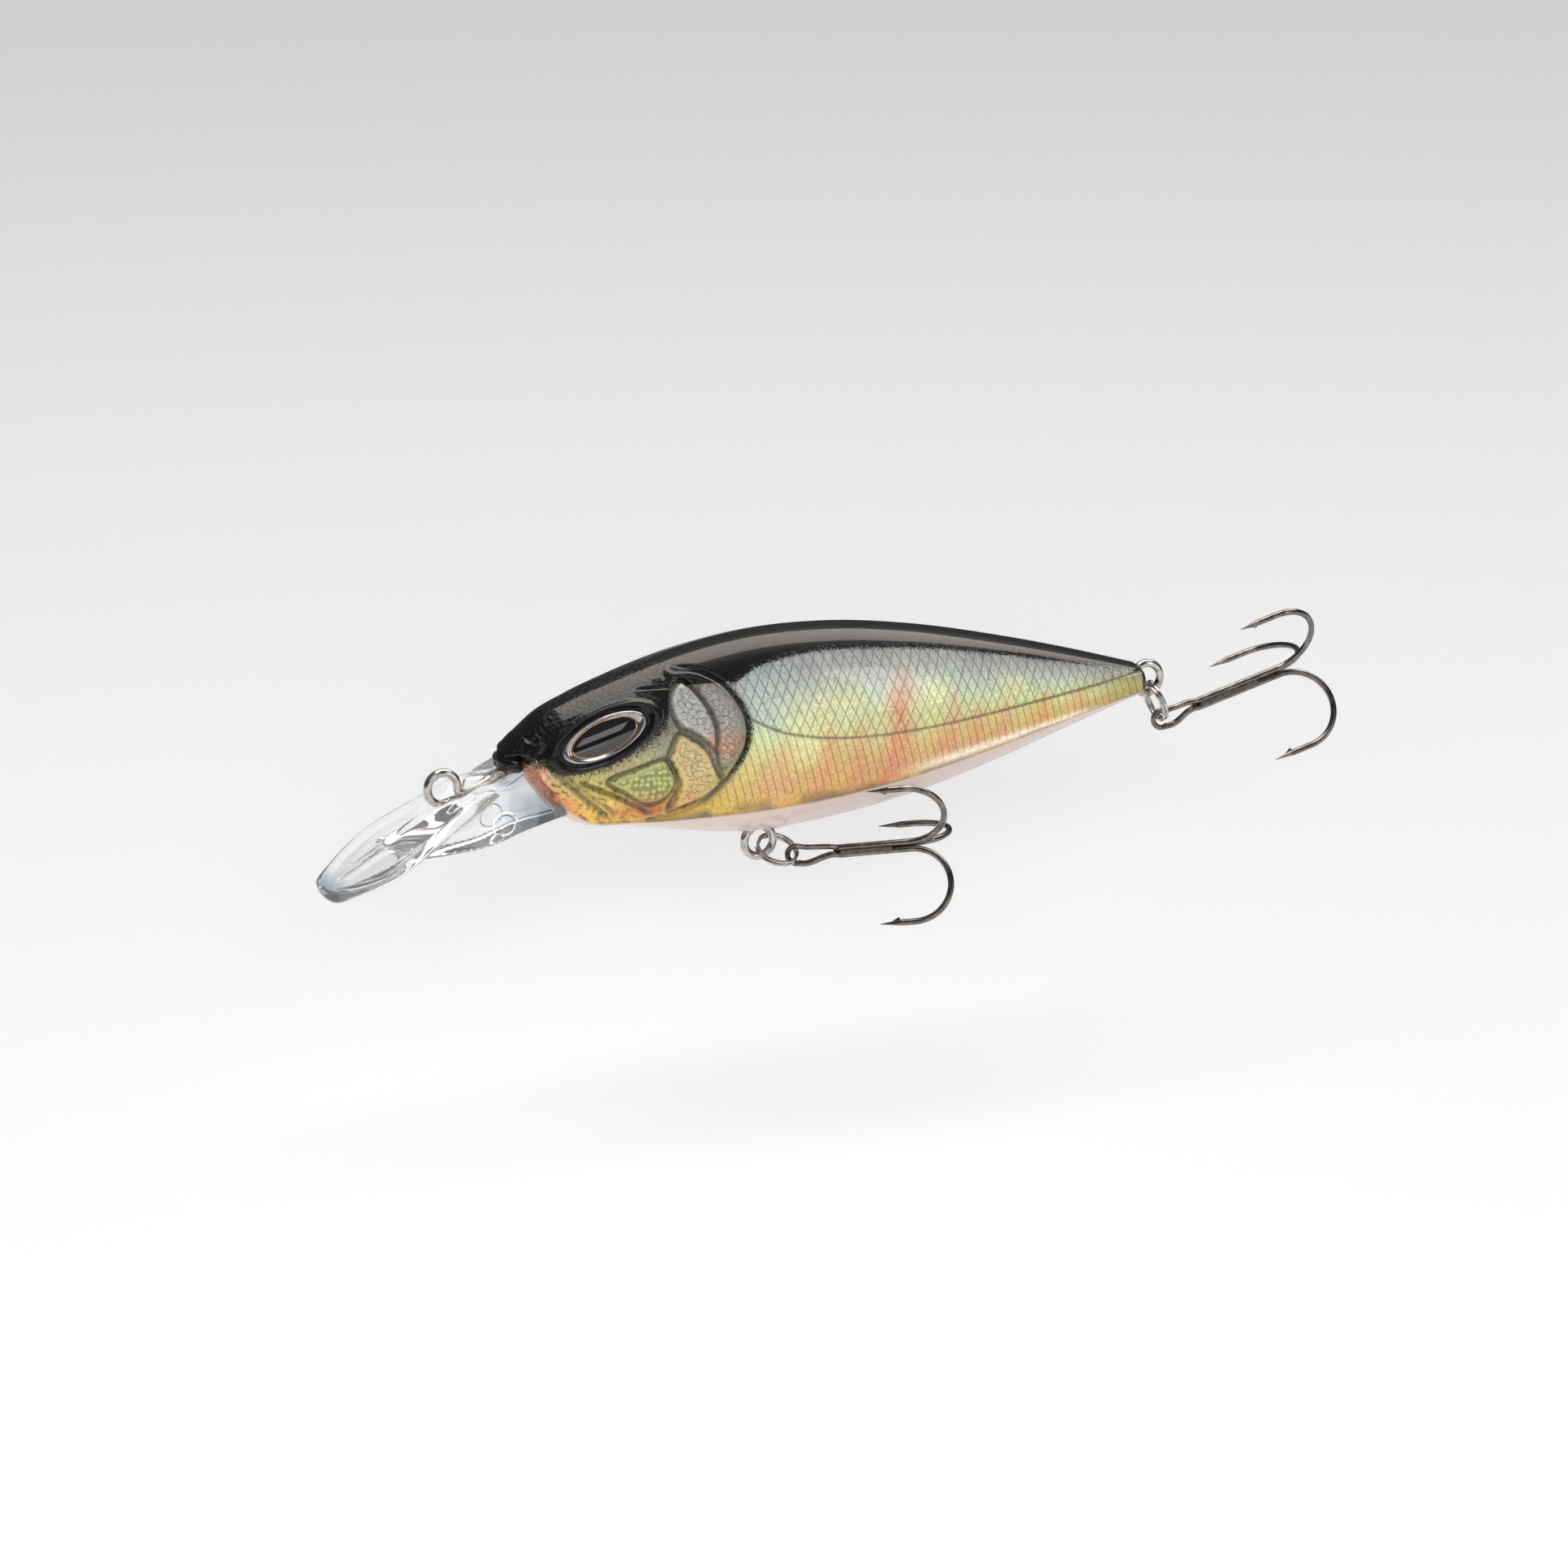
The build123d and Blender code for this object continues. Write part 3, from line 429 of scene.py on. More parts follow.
# Black back and head, fading through speckle; black halo round the eye and behind the gill
black = smoothstep(-0.16, 0.16, Z - back_z) * smoothstep(24.0, 25.0, X)
on_head = smoothstep(-1.9, 2.0, Z - head_z) * smoothstep(31.0, 28.5, X) * smoothstep(0.25, -0.1, in_upper)
black = np.maximum(black, on_head)
# Black round the eye: the printed halo, and painted shade down in the eye's pocket
black = np.maximum(black, smoothstep(2.2, 0.5, eye_gap))
behind_gill = 0.62 * np.exp(-(np.clip(-ahead, 0, None) / 0.8) ** 2) * (ahead < 0.3) * smoothstep(-3.0, 1.0, Z)
black = np.maximum(black, behind_gill)
black = np.maximum(black, 0.75 * np.exp(-((Z - back_z + 0.1) / 0.5) ** 2) * (X > 30))
black = np.maximum(black, smoothstep(79.7, 80.3, X) * smoothstep(2.0, 3.0, Z))
black = np.maximum(black, smoothstep(8.6, 7.6, X) * smoothstep(0.9, 1.6, Z))
belly = smoothstep(0.012, -0.012, flank_share) * smoothstep(11.2, 12.2, X)

# Where the head's skin is lumpy: drives the lumps' bump and the painted shade between them
lumps_and_shade = 0.5 * smoothstep(0, 0.8, ahead) * (1 - beaded) * (1 - pebbled)
# Three values for each point of the skin, read by its material
SKIN_FIELDS = {
    "paint": paint,
    "mask": np.stack([black, belly, on_flank], -1),
    "fine": np.stack([above, lumps_and_shade, np.zeros(X.shape)], -1),
}


# ------------------------------------------------------------------ meshes
def make_mesh(name, points, faces, smooth=True):
    """A mesh object from points in mm."""
    mesh = bpy.data.meshes.new(name)
    mesh.from_pydata([tuple(p) for p in np.asarray(points, float) * MM], [], faces)
    mesh.validate()
    mesh.update()
    mesh.polygons.foreach_set("use_smooth", [smooth] * len(mesh.polygons))
    piece = bpy.data.objects.new(name, mesh)
    bpy.context.scene.collection.objects.link(piece)
    return piece


def add_field(piece, name, values):
    """Store three values for each point, for the material to read."""
    layer = piece.data.attributes.new(name, "FLOAT_VECTOR", "POINT")
    layer.data.foreach_set("vector", np.asarray(values, np.float32).reshape(-1))


SEAM_GAP = 0.004                         # each half starts this far from the seam plane
TIP_PAINT = 60                           # the end caps take the paint of this point of the section


def hull_skin(name, side):
    """One printed half of the hull, closed by a flat face at the seam."""
    rows, cols = X.shape
    pts = P[1:-1].reshape(-1, 3).copy()
    rows -= 2
    pts[:, 1] = side * (pts[:, 1] + SEAM_GAP)
    tips = [(P[end, 0, 0], side * SEAM_GAP, P[end].mean(0)[2]) for end in (0, -1)]
    points = np.vstack([pts, tips])
    nose, tail = rows * cols, rows * cols + 1
    faces = []
    for i in range(rows - 1):
        base = i * cols
        faces += [(base + j, base + j + 1, base + cols + j + 1, base + cols + j) for j in range(cols - 1)]
    last = (rows - 1) * cols
    faces += [(nose, j + 1, j) for j in range(cols - 1)]
    faces += [(tail, last + j, last + j + 1) for j in range(cols - 1)]
    ridge = [i * cols for i in range(rows)]
    keel = [i * cols + cols - 1 for i in range(rows)]
    seam_faces = [(nose, 0, cols - 1), (tail, last + cols - 1, last)]
    seam_faces += [(ridge[i], ridge[i + 1], keel[i + 1], keel[i]) for i in range(rows - 1)]
    faces += seam_faces
    if side > 0:
        faces = [tuple(reversed(f)) for f in faces]
    piece = make_mesh(name, points, faces)
    flat = np.zeros(len(piece.data.polygons), bool)
    flat[-len(seam_faces):] = True
    piece.data.polygons.foreach_set("use_smooth", ~flat)
    sharp = piece.data.attributes.new("sharp_edge", "BOOLEAN", "EDGE")
    ends = np.zeros(len(piece.data.edges) * 2, int)
    piece.data.edges.foreach_get("vertices", ends)
    on_seam = np.zeros(len(points), bool)
    on_seam[ridge + keel + [nose, tail]] = True
    sharp.data.foreach_set("value", on_seam[ends].reshape(-1, 2).all(1))
    for key, values in SKIN_FIELDS.items():
        inner = values[1:-1].reshape(-1, 3)
        add_field(piece, key, np.vstack([inner, values[0, TIP_PAINT], values[-1, TIP_PAINT]]))
    return piece


# ------------------------------------------------------------------ material tools
def material(name):
    mat = bpy.data.materials.new(name)
    mat.use_nodes = True
    return mat, mat.node_tree, mat.node_tree.nodes["Principled BSDF"]


def put(tree, kind, inputs=None, **settings):
    """Add a node; inputs may be numbers, tuples or other nodes' sockets."""
    n = tree.nodes.new("ShaderNode" + kind)
    for key, value in settings.items():
        setattr(n, key, value)
    for key, value in (inputs or {}).items():
        if isinstance(value, bpy.types.NodeSocket):
            tree.links.new(value, n.inputs[key])
        else:
            n.inputs[key].default_value = value
    return n


def maths(tree, op, a, b=0.0):
    return put(tree, "Math", {0: a, 1: b}, operation=op).outputs[0]


def ramp(tree, value, low, high, out_low=0.0, out_high=1.0):
    """The nodes' own smoothstep, from one span of values to another."""
    span = {"Value": value, "From Min": low, "From Max": high, "To Min": out_low, "To Max": out_high}
    return put(tree, "MapRange", span, interpolation_type="SMOOTHSTEP").outputs[0]


def mix(tree, share, a, b, blend_type="MIX"):
    n = put(tree, "Mix", data_type="RGBA", blend_type=blend_type)
    for key, value in ((0, share), (6, a), (7, b)):
        if isinstance(value, bpy.types.NodeSocket):
            tree.links.new(value, n.inputs[key])
        else:
            n.inputs[key].default_value = value
    return n.outputs[2]


def rgb(*c):
    return (*srgb(*c), 1.0)


def object_mm(tree):
    """The piece's own coordinates, in mm."""
    tex = put(tree, "TexCoord")
    return put(tree, "VectorMath", {0: tex.outputs["Object"], "Scale": 1000.0}, operation="SCALE").outputs[0]


def grain(tree, where, scale, detail=2.0, rough=0.5):
    """Noise with that many features to a mm."""
    settings = {"Vector": where, "Scale": scale, "Detail": detail, "Roughness": rough}
    return put(tree, "TexNoise", settings).outputs["Fac"]


def link(tree, socket, target):
    tree.links.new(socket, target)


# ------------------------------------------------------------------ printed hull
hull_mat, tree, bsdf = material("hull_print")
where = object_mm(tree)
xyz = put(tree, "SeparateXYZ", {0: where})
x, z = xyz.outputs[0], xyz.outputs[2]
print_field = put(tree, "Attribute", attribute_name="paint").outputs["Vector"]
mask = put(tree, "SeparateXYZ", {0: put(tree, "Attribute", attribute_name="mask").outputs["Vector"]})
fine = put(tree, "SeparateXYZ", {0: put(tree, "Attribute", attribute_name="fine").outputs["Vector"]})
black_f, belly_f, scale_f = mask.outputs
above_f, lumps_and_shade_f = fine.outputs[0], fine.outputs[1]
speckle = grain(tree, where, 5.0, 3.0, 0.7)
fleck = grain(tree, where, 22.0, 1.0, 0.6)
dust = maths(tree, "ADD", maths(tree, "MULTIPLY", maths(tree, "SUBTRACT", speckle, 0.5), 1.8),
             maths(tree, "MULTIPLY", maths(tree, "SUBTRACT", fleck, 0.5), 0.6))
black_s = ramp(tree, maths(tree, "ADD", black_f, dust), 0.36, 0.62)


def stripes(angle, pitch, width):
    """Thin parallel lines over the side view, 1 on a line."""
    a = math.radians(angle)
    u = maths(tree, "ADD", maths(tree, "MULTIPLY", x, math.cos(a) / pitch),
              maths(tree, "MULTIPLY", z, math.sin(a) / pitch))
    saw = maths(tree, "ABSOLUTE", maths(tree, "SUBTRACT", maths(tree, "FRACT", u), 0.5))
    return ramp(tree, saw, 0.5 - width / pitch, 0.5)


cross = maths(tree, "MAXIMUM", stripes(-27.0, 1.06, 0.10), stripes(27.0, 1.06, 0.10))
single = stripes(17.0, 0.88, 0.085)
line = maths(tree, "ADD", maths(tree, "MULTIPLY", cross, above_f),
             maths(tree, "MULTIPLY", single, maths(tree, "SUBTRACT", 1.0, above_f)))
line = maths(tree, "MULTIPLY", line, scale_f)
crack = put(tree, "TexVoronoi", {"Vector": where, "Scale": 0.42}, feature="DISTANCE_TO_EDGE")
crack = ramp(tree, crack.outputs["Distance"], 0.012, 0.0)
crack = maths(tree, "MULTIPLY", crack, ramp(tree, grain(tree, where, 0.75, 1.0), 0.54, 0.60))
crack = maths(tree, "MULTIPLY", maths(tree, "MULTIPLY", crack, scale_f), above_f)
mottle = grain(tree, where, 2.6, 4.0, 0.7)
tone = mix(tree, ramp(tree, mottle, 0.30, 0.72), (0.78, 0.77, 0.74, 1), (1.16, 1.15, 1.12, 1))
colour = mix(tree, 1.0, print_field, tone, "MULTIPLY")
glitter = ramp(tree, fleck, 0.44, 0.70)
colour = mix(tree, maths(tree, "MULTIPLY", glitter, 0.22), colour, rgb(226, 224, 214))
colour = mix(tree, maths(tree, "MULTIPLY", ramp(tree, speckle, 0.50, 0.36), 0.22), colour, rgb(74, 70, 60))
lumps = put(tree, "TexVoronoi", {"Vector": where, "Scale": 2.6}, feature="SMOOTH_F1")
lumps = maths(tree, "MULTIPLY", lumps.outputs["Distance"], lumps_and_shade_f)
# Painted shade: darker in the hollows between the lumps
colour = mix(tree, maths(tree, "MULTIPLY", ramp(tree, lumps, 0.22, 0.42), 0.75), colour, rgb(58, 46, 18))
colour = mix(tree, maths(tree, "MULTIPLY", line, 0.50), colour, rgb(62, 58, 50))
colour = mix(tree, maths(tree, "MULTIPLY", crack, 0.65), colour, rgb(40, 40, 40))
black_tone = mix(tree, ramp(tree, fleck, 0.4, 0.75), rgb(2, 2, 2), rgb(12, 11, 10))
colour = mix(tree, black_s, colour, black_tone)
belly_tone = mix(tree, grain(tree, where, 0.5, 2.0), rgb(196, 174, 164), rgb(208, 190, 182))
colour = mix(tree, belly_f, colour, belly_tone)
link(tree, colour, bsdf.inputs["Base Color"])
bare = maths(tree, "MULTIPLY", maths(tree, "SUBTRACT", 1.0, black_s), maths(tree, "SUBTRACT", 1.0, belly_f))
link(tree, maths(tree, "MULTIPLY", bare, 0.14), bsdf.inputs["Metallic"])
link(tree, maths(tree, "ADD", 0.30, maths(tree, "MULTIPLY", speckle, 0.18)), bsdf.inputs["Roughness"])
bsdf.inputs["Specular IOR Level"].default_value = 0.2
bsdf.inputs["Coat Weight"].default_value = 0.7
bsdf.inputs["Coat IOR"].default_value = 1.38
bsdf.inputs["Coat Roughness"].default_value = 0.05
height = maths(tree, "SUBTRACT", maths(tree, "MULTIPLY", speckle, 0.02),
               maths(tree, "ADD", maths(tree, "MULTIPLY", line, 0.06), maths(tree, "MULTIPLY", crack, 0.04)))
height = maths(tree, "SUBTRACT", height, maths(tree, "MULTIPLY", lumps, 0.26))
bump = put(tree, "Bump", {"Strength": 0.8, "Distance": 0.001, "Height": height})
link(tree, bump.outputs[0], bsdf.inputs["Normal"])

for side, word in ((-1, "left"), (1, "right")):
    skin = hull_skin(f"hull_skin_{word}", side)
    skin.data.materials.append(hull_mat)
    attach(skin, "hull")
    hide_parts(f"body_shell_{word}")

# ------------------------------------------------------------------ eyes
eye_mat, tree, bsdf = material("eye_foil")
where = object_mm(tree)
to_rim = (1 / EYE_LONG, 1 / EYE_SHORT, 0)
oval = put(tree, "VectorMath", {0: where, 1: to_rim}, operation="MULTIPLY").outputs[0]
radius = put(tree, "VectorMath", {0: oval}, operation="LENGTH").outputs["Value"]       # 1 on the rim
foil = mix(tree, grain(tree, where, 1.2, 3.0), rgb(112, 106, 108), rgb(196, 190, 194))
gold = mix(tree, grain(tree, where, 6.0, 2.0), rgb(150, 104, 52), rgb(206, 160, 96))
pupil = mix(tree, grain(tree, where, 0.6, 2.0), rgb(6, 6, 7), rgb(20, 20, 21))
on_foil = ramp(tree, radius, 0.735, 0.75)
on_gold = maths(tree, "MULTIPLY", on_foil, ramp(tree, radius, 0.80, 0.785))
colour = mix(tree, on_foil, pupil, foil)
colour = mix(tree, on_gold, colour, gold)
# Painted shade: the eye's outer edge, where it dips into the pocket, is painted near black
colour = mix(tree, ramp(tree, radius, 0.965, 0.995), colour, rgb(12, 12, 12))
link(tree, colour, bsdf.inputs["Base Color"])
shine = maths(tree, "MULTIPLY", on_foil, ramp(tree, radius, 0.995, 0.965, 0.0, 0.95))
link(tree, shine, bsdf.inputs["Metallic"])
link(tree, ramp(tree, radius, 0.7, 0.8, 0.06, 0.16), bsdf.inputs["Roughness"])
bsdf.inputs["Coat Weight"].default_value = 1.0
bsdf.inputs["Coat Roughness"].default_value = 0.02


DOME, DOME_HEIGHT = 0.74, 0.33            # share of the eye that is pupil, and how far it bulges
EYE_BACK = -1.05                         # the eye's flat back, inside its pocket


def eye(name, side):
    """Domed eye: bevelled foil rim, thin gold ring, glossy pupil. Local z points out of the head."""
    radii = np.concatenate([np.linspace(0, DOME, 26), np.linspace(0.75, 0.985, 22), [0.99, 0.99]])
    bevel = curve([(DOME, 0.0), (0.76, -0.03), (0.80, 0.02), (0.86, 0.14), (0.92, 0.19), (0.96, 0.10),
                   (0.985, -0.12), (1.0, -0.3)])
    dome = DOME_HEIGHT * (1 - (radii / DOME) ** 2)
    heights = np.where(radii <= DOME, dome, np.interp(radii, bevel[:, 0], bevel[:, 1]))
    heights[-1] = EYE_BACK
    turns = 144
    angles = np.linspace(0, 2 * math.pi, turns, endpoint=False)
    points, faces = [(0, 0, heights[0])], []
    for r, h in zip(radii[1:], heights[1:]):
        points += [(EYE_LONG * r * math.cos(a), EYE_SHORT * r * math.sin(a), h) for a in angles]
    faces += [(0, 1 + k, 1 + (k + 1) % turns) for k in range(turns)]
    for ring in range(len(radii) - 2):
        a, b = 1 + ring * turns, 1 + (ring + 1) * turns
        faces += [(a + k, b + k, b + (k + 1) % turns, a + (k + 1) % turns) for k in range(turns)]
    last = 1 + (len(radii) - 2) * turns
    faces.append(tuple(last + k for k in range(turns - 1, -1, -1)))
    piece = make_mesh(name, points, faces)
    axes = [Vector((v.x, v.y * side, v.z)) for v in (eye_major, eye_minor, eye_out)]
    if axes[0].cross(axes[1]).dot(axes[2]) < 0:
        axes[1] = -axes[1]
    piece.matrix_world = Matrix((
        (axes[0].x, axes[1].x, axes[2].x, EYE_CENTRE.x * MM),
        (axes[0].y, axes[1].y, axes[2].y, side * EYE_CENTRE.y * MM),
        (axes[0].z, axes[1].z, axes[2].z, EYE_CENTRE.z * MM),
        (0, 0, 0, 1)))
    return piece


for side, word in ((-1, "left"), (1, "right")):
    piece = eye(f"eye_{word}", side)
    piece.data.materials.append(eye_mat)
    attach(piece, "hull")
    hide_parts(f"eye_lens_{word}", f"eye_iris_{word}")

# ------------------------------------------------------------------ clear lip
# Drawn in its own plane: s runs from the tip to the hull, y across, and height is above the plane
LIP_TIP, LIP_ANGLE = np.array([-13.3, 0.0, -9.7]), math.radians(29.5)
lip_along = np.array([math.cos(LIP_ANGLE), 0, math.sin(LIP_ANGLE)])
lip_up = np.array([-math.sin(LIP_ANGLE), 0, math.cos(LIP_ANGLE)])
LIP_LENGTH, LIP_ACROSS = 25.6, 88        # length in mm, and points from side to side
HALF_WIDTH = curve([(0, 0), (0.6, 2.5), (2.4, 4.2), (5.0, 5.6), (8.0, 6.5), (11.0, 6.3), (14.5, 5.4),
                    (18.5, 4.4), (22.5, 3.8), (26.0, 3.4)])
UNDERSIDE = curve([(0, -0.8), (7.0, -0.8), (10.0, -1.8), (16.5, -4.85), (20.6, -5.85), (26.0, -7.6)])
LIP_TOP, LIP_MIDDLE, LIP_BOTTOM = 0.6, -0.1, -0.8
ROUNDED_EDGE, ROUNDED_TIP = 0.75, 1.1    # how far in from the side and from the tip the edge is rounded
TIP_WIDTH, TIP_LENGTH = 3.2, 1.2         # half width and length of the arc that ends the tip
NARROWEST = 0.02                         # keeps the very tip from closing to a point


def lip_half_width(s):
    if s >= TIP_LENGTH:
        return max(float(np.interp(s, HALF_WIDTH[:, 0], HALF_WIDTH[:, 1])), NARROWEST)
    arc = TIP_WIDTH * math.sqrt(max(2 * TIP_LENGTH * s - s * s, 0.0)) / TIP_LENGTH
    return max(arc, NARROWEST) * (0.8 + 0.2 * s / TIP_LENGTH)


def lip_section(s, share):
    """Points round the lip at s: over the top from side to side, and back below."""
    half_width = lip_half_width(s)
    y = half_width * share
    from_edge = np.clip((np.abs(y) - (half_width - ROUNDED_EDGE)) / ROUNDED_EDGE, 0, 1)
    from_tip = np.clip((ROUNDED_TIP - s) / ROUNDED_TIP, 0, 1)
    round_off = np.sqrt(np.clip(1 - np.maximum(from_edge, from_tip) ** 2, 0, 1))
    thick_tip = smoothstep(0, 3.0, 3.0 - s)
    # A rib along the middle, and a short block at the neck, where the plate's top dips to the hull
    rib = 0.38 * smoothstep(1.0, 4.5, s) * smoothstep(14.3, 13.2, s) * np.exp(-(y / 0.62) ** 4)
    step = 0.85 * smoothstep(17.9, 19.2, s) * smoothstep(23.0, 21.0, s)
    step = step * smoothstep(0.25, 1.0, 1.3 - np.abs(y))
    dish = 0.10 * np.abs(y / 8.0) ** 2
    top_side = LIP_TOP + rib + 0.25 * thick_tip - 1.6 * smoothstep(18.5, 22.5, s) + step + dish
    # Below, a wedge grows out of the plate towards the hull
    plate = LIP_BOTTOM - 0.15 * thick_tip
    wedge = float(np.interp(s, UNDERSIDE[:, 0], UNDERSIDE[:, 1]))
    in_wedge = smoothstep(4.25, 3.45, np.abs(y)) * smoothstep(6.5, 9.5, s)
    low_side = plate * (1 - in_wedge) + min(wedge, plate) * in_wedge
    upper = LIP_MIDDLE + (top_side - LIP_MIDDLE) * round_off
    lower = LIP_MIDDLE + (low_side - LIP_MIDDLE) * round_off
    over = [(s, *point) for point in zip(y, upper)]
    return over + [(s, *point) for point in zip(y[-2:0:-1], lower[-2:0:-1])]


# Sections crowd at the tip, and points across crowd at the sides, where the surface bends most
lip_s = np.concatenate([LIP_LENGTH * np.linspace(0.0, 0.25, 60) ** 2, np.linspace(1.6, LIP_LENGTH, 190)[1:]])
even = np.linspace(-1, 1, LIP_ACROSS)
crowded = 0.55 * np.sign(even) * (1 - (1 - np.abs(even)) ** 1.5) + 0.45 * even
lip_pts = np.array([lip_section(s, crowded) for s in lip_s])
count = lip_pts.shape[1]
along, sideways, above_plane = (lip_pts[..., k].reshape(-1, 1) for k in range(3))
world = LIP_TIP + along * lip_along + sideways * np.array([0, 1, 0]) + above_plane * lip_up
faces = []
for i in range(len(lip_s) - 1):
    a, b = i * count, (i + 1) * count
    faces += [(a + j, b + j, b + (j + 1) % count, a + (j + 1) % count) for j in range(count)]
faces.append(tuple(range(count)))
faces.append(tuple((len(lip_s) - 1) * count + j for j in range(count - 1, -1, -1)))
lip = make_mesh("lip_clear", world, faces)
lip_mat, tree, bsdf = material("clear_lip")
where = object_mm(tree)
clear = mix(tree, grain(tree, where, 0.25, 1.0), (0.93, 0.955, 0.965, 1), (0.985, 0.99, 0.99, 1))
lip_xyz = put(tree, "SeparateXYZ", {0: where}).outputs
# Painted refraction: the thick tip and the root are tinted dark blue-grey, standing in for the dark edges
# seen through the clear plastic
at_tip = ramp(tree, lip_xyz[0], -10.8, -13.2)
at_root = ramp(tree, lip_xyz[0], 6.6, 8.2, 0.0, 0.8)
at_root = maths(tree, "MULTIPLY", at_root, ramp(tree, lip_xyz[2], 0.5, -2.5))
clear = mix(tree, maths(tree, "MAXIMUM", at_tip, at_root), clear, (0.24, 0.34, 0.42, 1))
link(tree, clear, bsdf.inputs["Base Color"])
bsdf.inputs["Transmission Weight"].default_value = 1.0
bsdf.inputs["IOR"].default_value = 1.42
bsdf.inputs["Alpha"].default_value = 0.92
link(tree, ramp(tree, grain(tree, where, 1.1, 3.0), 0.3, 0.8, 0.01, 0.035), bsdf.inputs["Roughness"])
flow = maths(tree, "MULTIPLY", grain(tree, where, 0.22, 1.0), 0.10)
# A plain round ejector mark on the neck
from_mark = put(tree, "VectorMath", {0: where, 1: (5.4, 0.0, -3.6)}, operation="SUBTRACT").outputs[0]
from_mark = put(tree, "VectorMath", {0: from_mark, 1: (1.0, 0.0, 1.0)}, operation="MULTIPLY").outputs[0]
mark = put(tree, "VectorMath", {0: from_mark}, operation="LENGTH").outputs["Value"]
mark = maths(tree, "MULTIPLY", ramp(tree, mark, 1.45, 1.3), ramp(tree, mark, 1.0, 1.15))
flow = maths(tree, "ADD", flow, maths(tree, "MULTIPLY", mark, 0.25))
bump = put(tree, "Bump", {"Strength": 0.6, "Distance": 0.001, "Height": flow})
link(tree, bump.outputs[0], bsdf.inputs["Normal"])
lip.data.materials.append(lip_mat)
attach(lip, "hull")
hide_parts("diving_lip")


# ------------------------------------------------------------------ metal nodes carried over from the CAD
def metal(name, dark, light, rough, scale, coat=0.0):
    """A clouded metal, between two shades, a little bumpy."""
    mat, tree, bsdf = material(name)
    where = object_mm(tree)
    cloud = grain(tree, where, scale, 4.0, 0.6)
    colour = mix(tree, ramp(tree, cloud, 0.3, 0.7), dark, light)
    link(tree, colour, bsdf.inputs["Base Color"])
    bsdf.inputs["Metallic"].default_value = 1.0
    link(tree, ramp(tree, cloud, 0.25, 0.75, rough * 0.75, rough * 1.35), bsdf.inputs["Roughness"])
    bsdf.inputs["Coat Weight"].default_value = coat
    height = maths(tree, "MULTIPLY", grain(tree, where, 2.5, 2.0), 0.006)
    bump = put(tree, "Bump", {"Strength": 0.35, "Distance": 0.001, "Height": height})
    link(tree, bump.outputs[0], bsdf.inputs["Normal"])
    return mat


steel = metal("stainless_wire", rgb(166, 162, 156), rgb(214, 210, 204), 0.19, 1.5)
nickel = metal("nickel_ring", rgb(158, 150, 144), rgb(214, 208, 202), 0.15, 1.2)
gunmetal = metal("black_nickel", rgb(98, 94, 90), rgb(140, 133, 125), 0.20, 1.1, 0.3)
braze = metal("braze", rgb(84, 80, 76), rgb(112, 102, 92), 0.34, 1.4)
brass = metal("ballast_brass", rgb(150, 118, 60), rgb(190, 156, 92), 0.3, 1.0)
ball = metal("ball_steel", rgb(150, 150, 154), rgb(200, 200, 204), 0.1, 1.0)
FINISH = {"line_tie_wire": steel, "belly_hanger": steel, "tail_hanger": steel,
          "front_split_ring": nickel, "rear_split_ring": nickel,
          "belly_ballast": brass, "rattle_ball_front": ball, "rattle_ball_rear": ball}
for end in ("front", "rear"):
    FINISH[f"{end}_hook_pair"] = gunmetal
    FINISH[f"{end}_hook_third"] = gunmetal
    FINISH[f"{end}_hook_braze"] = braze
for name, mat in FINISH.items():
    nodes[name].data.materials.clear()
    nodes[name].data.materials.append(mat)

# ------------------------------------------------------------------ floor, light, camera
SWING_ROOM = 0.020          # the trebles swing this far below their place at rest
floor_z = cad_bounds[0][2] - SWING_ROOM
bpy.ops.mesh.primitive_plane_add(size=12.0, location=(0.03, 0, floor_z))
floor = bpy.context.object
floor.name = "floor"
floor_mat, tree, bsdf = material("floor_paper")
bsdf.inputs["Base Color"].default_value = (0.80, 0.79, 0.76, 1)
bsdf.inputs["Roughness"].default_value = 0.9
bsdf.inputs["Specular IOR Level"].default_value = 0.0
bsdf.inputs["Emission Color"].default_value = (0.975, 0.975, 1.0, 1)
bsdf.inputs["Emission Strength"].default_value = 0.45
floor.data.materials.append(floor_mat)

world_bg = bpy.data.worlds.new("studio")
world_bg.use_nodes = True
tree = world_bg.node_tree
sky = put(tree, "TexCoord")
up = put(tree, "SeparateXYZ", {0: sky.outputs["Generated"]}).outputs[2]
sky_colour = mix(tree, ramp(tree, up, -0.05, 0.75), (0.16, 0.19, 0.23, 1), (0.40, 0.41, 0.44, 1))
link(tree, sky_colour, tree.nodes["Background"].inputs["Color"])
tree.nodes["Background"].inputs["Strength"].default_value = 0.35
bpy.context.scene.world = world_bg


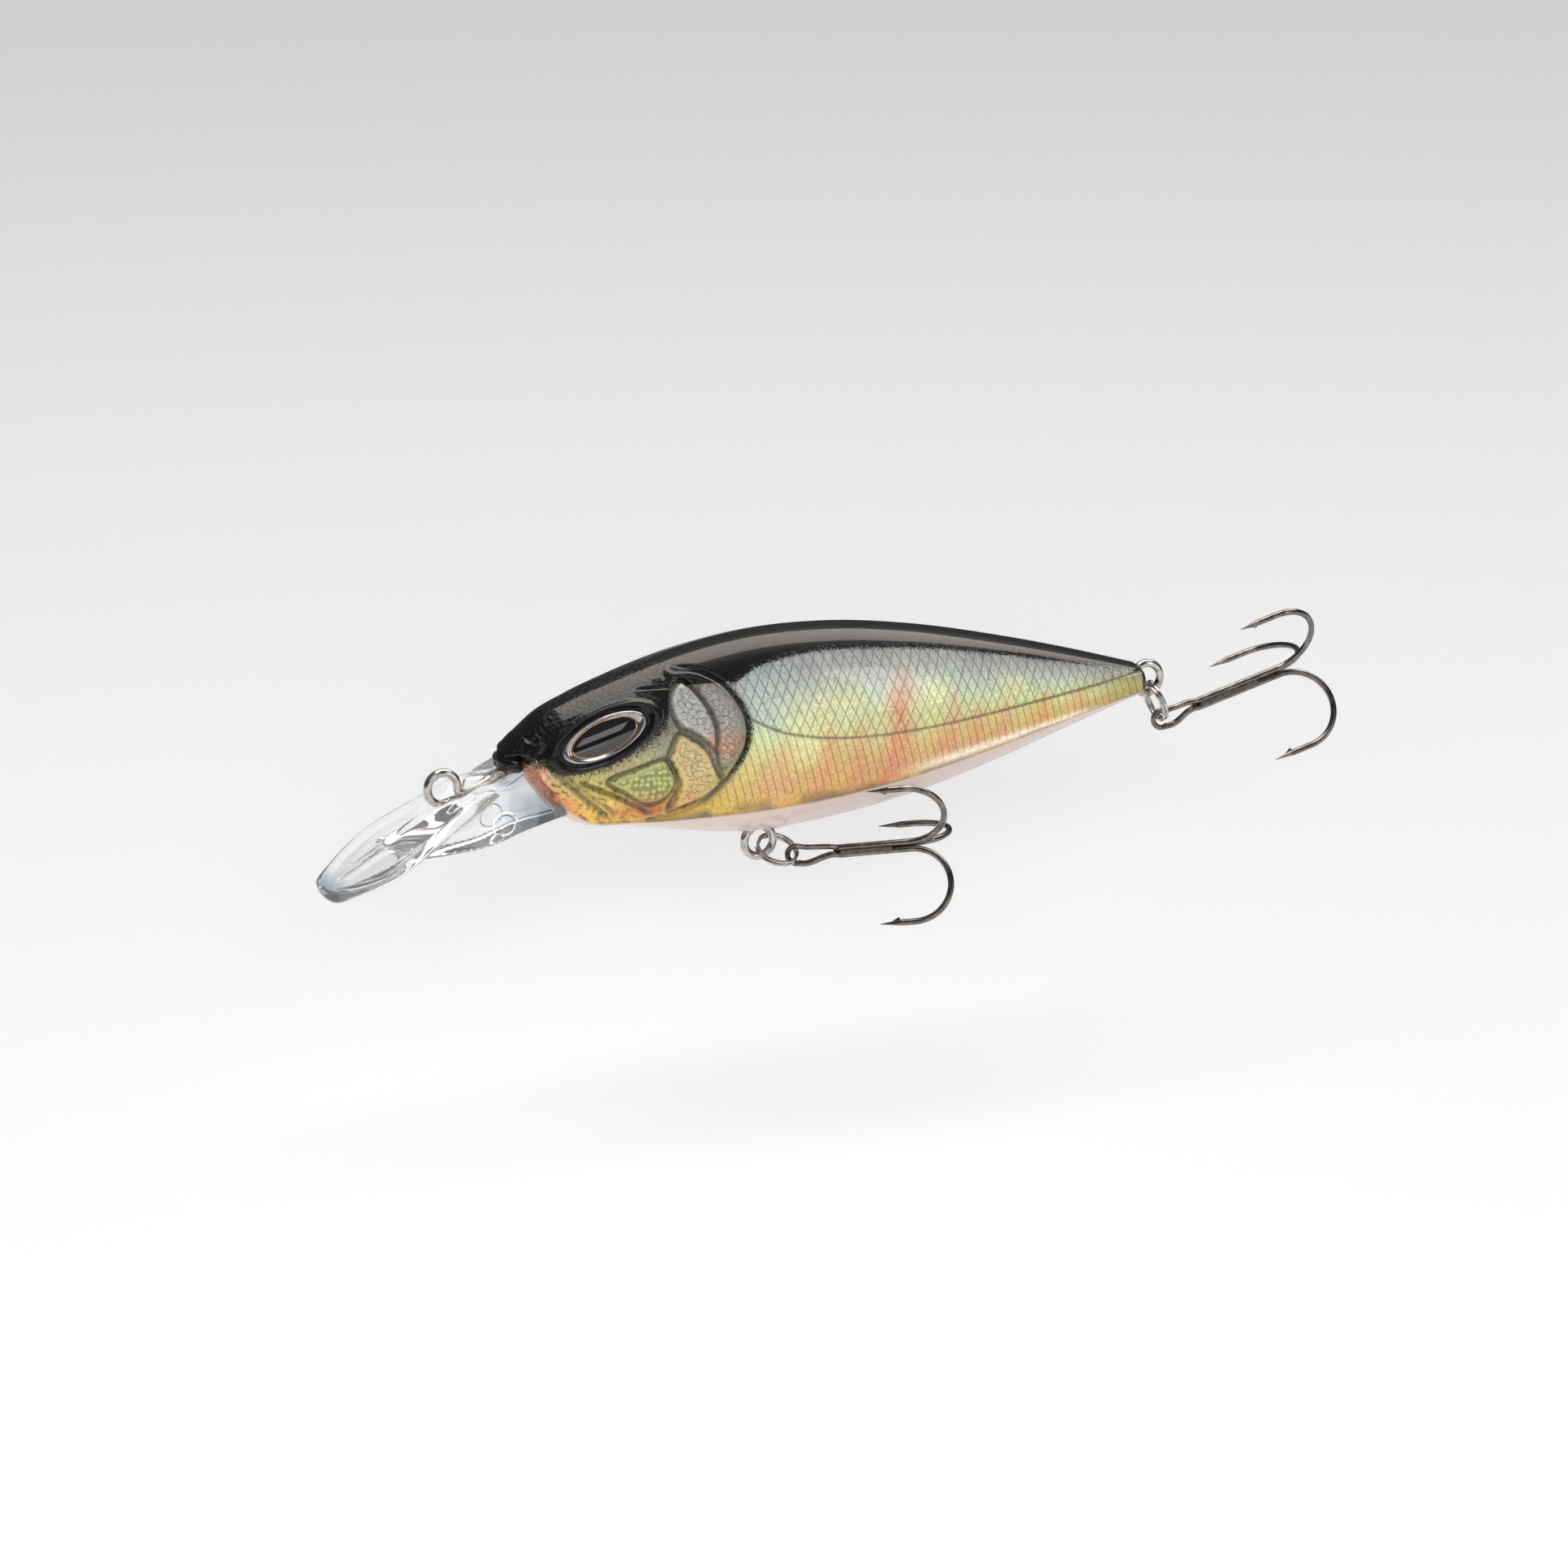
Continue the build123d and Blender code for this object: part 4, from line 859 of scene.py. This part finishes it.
def softbox(name, place, aim, size, radiance, diffuse=True, glossy=True, clear=True, tint=(1, 1, 1)):
    """A rectangular light, facing down when it has no aim. A larger one of a radiance gives more light."""
    lamp = bpy.data.lights.new(name, "AREA")
    lamp.shape = "RECTANGLE"
    lamp.color = tint
    lamp.size, lamp.size_y = size
    lamp.energy = radiance * math.pi * size[0] * size[1]
    piece = bpy.data.objects.new(name, lamp)
    piece.location = place
    if aim:
        piece.rotation_euler = (Vector(aim) - Vector(place)).to_track_quat("-Z", "Y").to_euler()
    piece.visible_diffuse = diffuse
    piece.visible_glossy = glossy
    piece.visible_transmission = clear
    bpy.context.scene.collection.objects.link(piece)


lure_middle = Vector((0.035, 0, 0))
softbox("overhead", (0.10, 0.02, 0.80), None, (0.80, 0.66), 1.5, glossy=False, clear=False)
softbox("back_panel", (0.34, 0.10, 0.60), None, (0.86, 0.40), 5.2, diffuse=False, clear=False,
        tint=(1.0, 0.94, 0.86))
softbox("nose_panel", (-0.03, -0.16, 0.60), None, (0.16, 0.24), 5.2, diffuse=False, clear=False)
softbox("key", (-0.28, -0.68, 0.23), lure_middle, (0.28, 0.16), 34.0, glossy=False, clear=False)
softbox("front_card", (-0.10, -0.80, 0.30), (0.015, 0, 0), (0.50, 0.24), 1.6, diffuse=False, clear=False)
softbox("edge_card", (0.55, -0.75, 0.20), lure_middle, (0.10, 0.50), 5.0, diffuse=False, clear=False)
softbox("sky_panel", (0.0, 0.0, 1.4), None, (4.0, 4.0), 2.2, diffuse=False, glossy=False)

camera = bpy.data.cameras.new("camera")
camera.lens = 127.5
camera.sensor_width = 36.0
camera.clip_start = 0.01
camera_piece = bpy.data.objects.new("camera", camera)
back = Vector((-0.408, -0.875, 0.259)).normalized()
target = Vector((0.03857, 0, -0.00389))
CAMERA_DISTANCE = 0.585
camera_piece.location = target + back * CAMERA_DISTANCE
camera_piece.rotation_euler = (-back).to_track_quat("-Z", "Y").to_euler()
bpy.context.scene.collection.objects.link(camera_piece)
bpy.context.scene.camera = camera_piece
bpy.context.scene.view_settings.view_transform = "Standard"
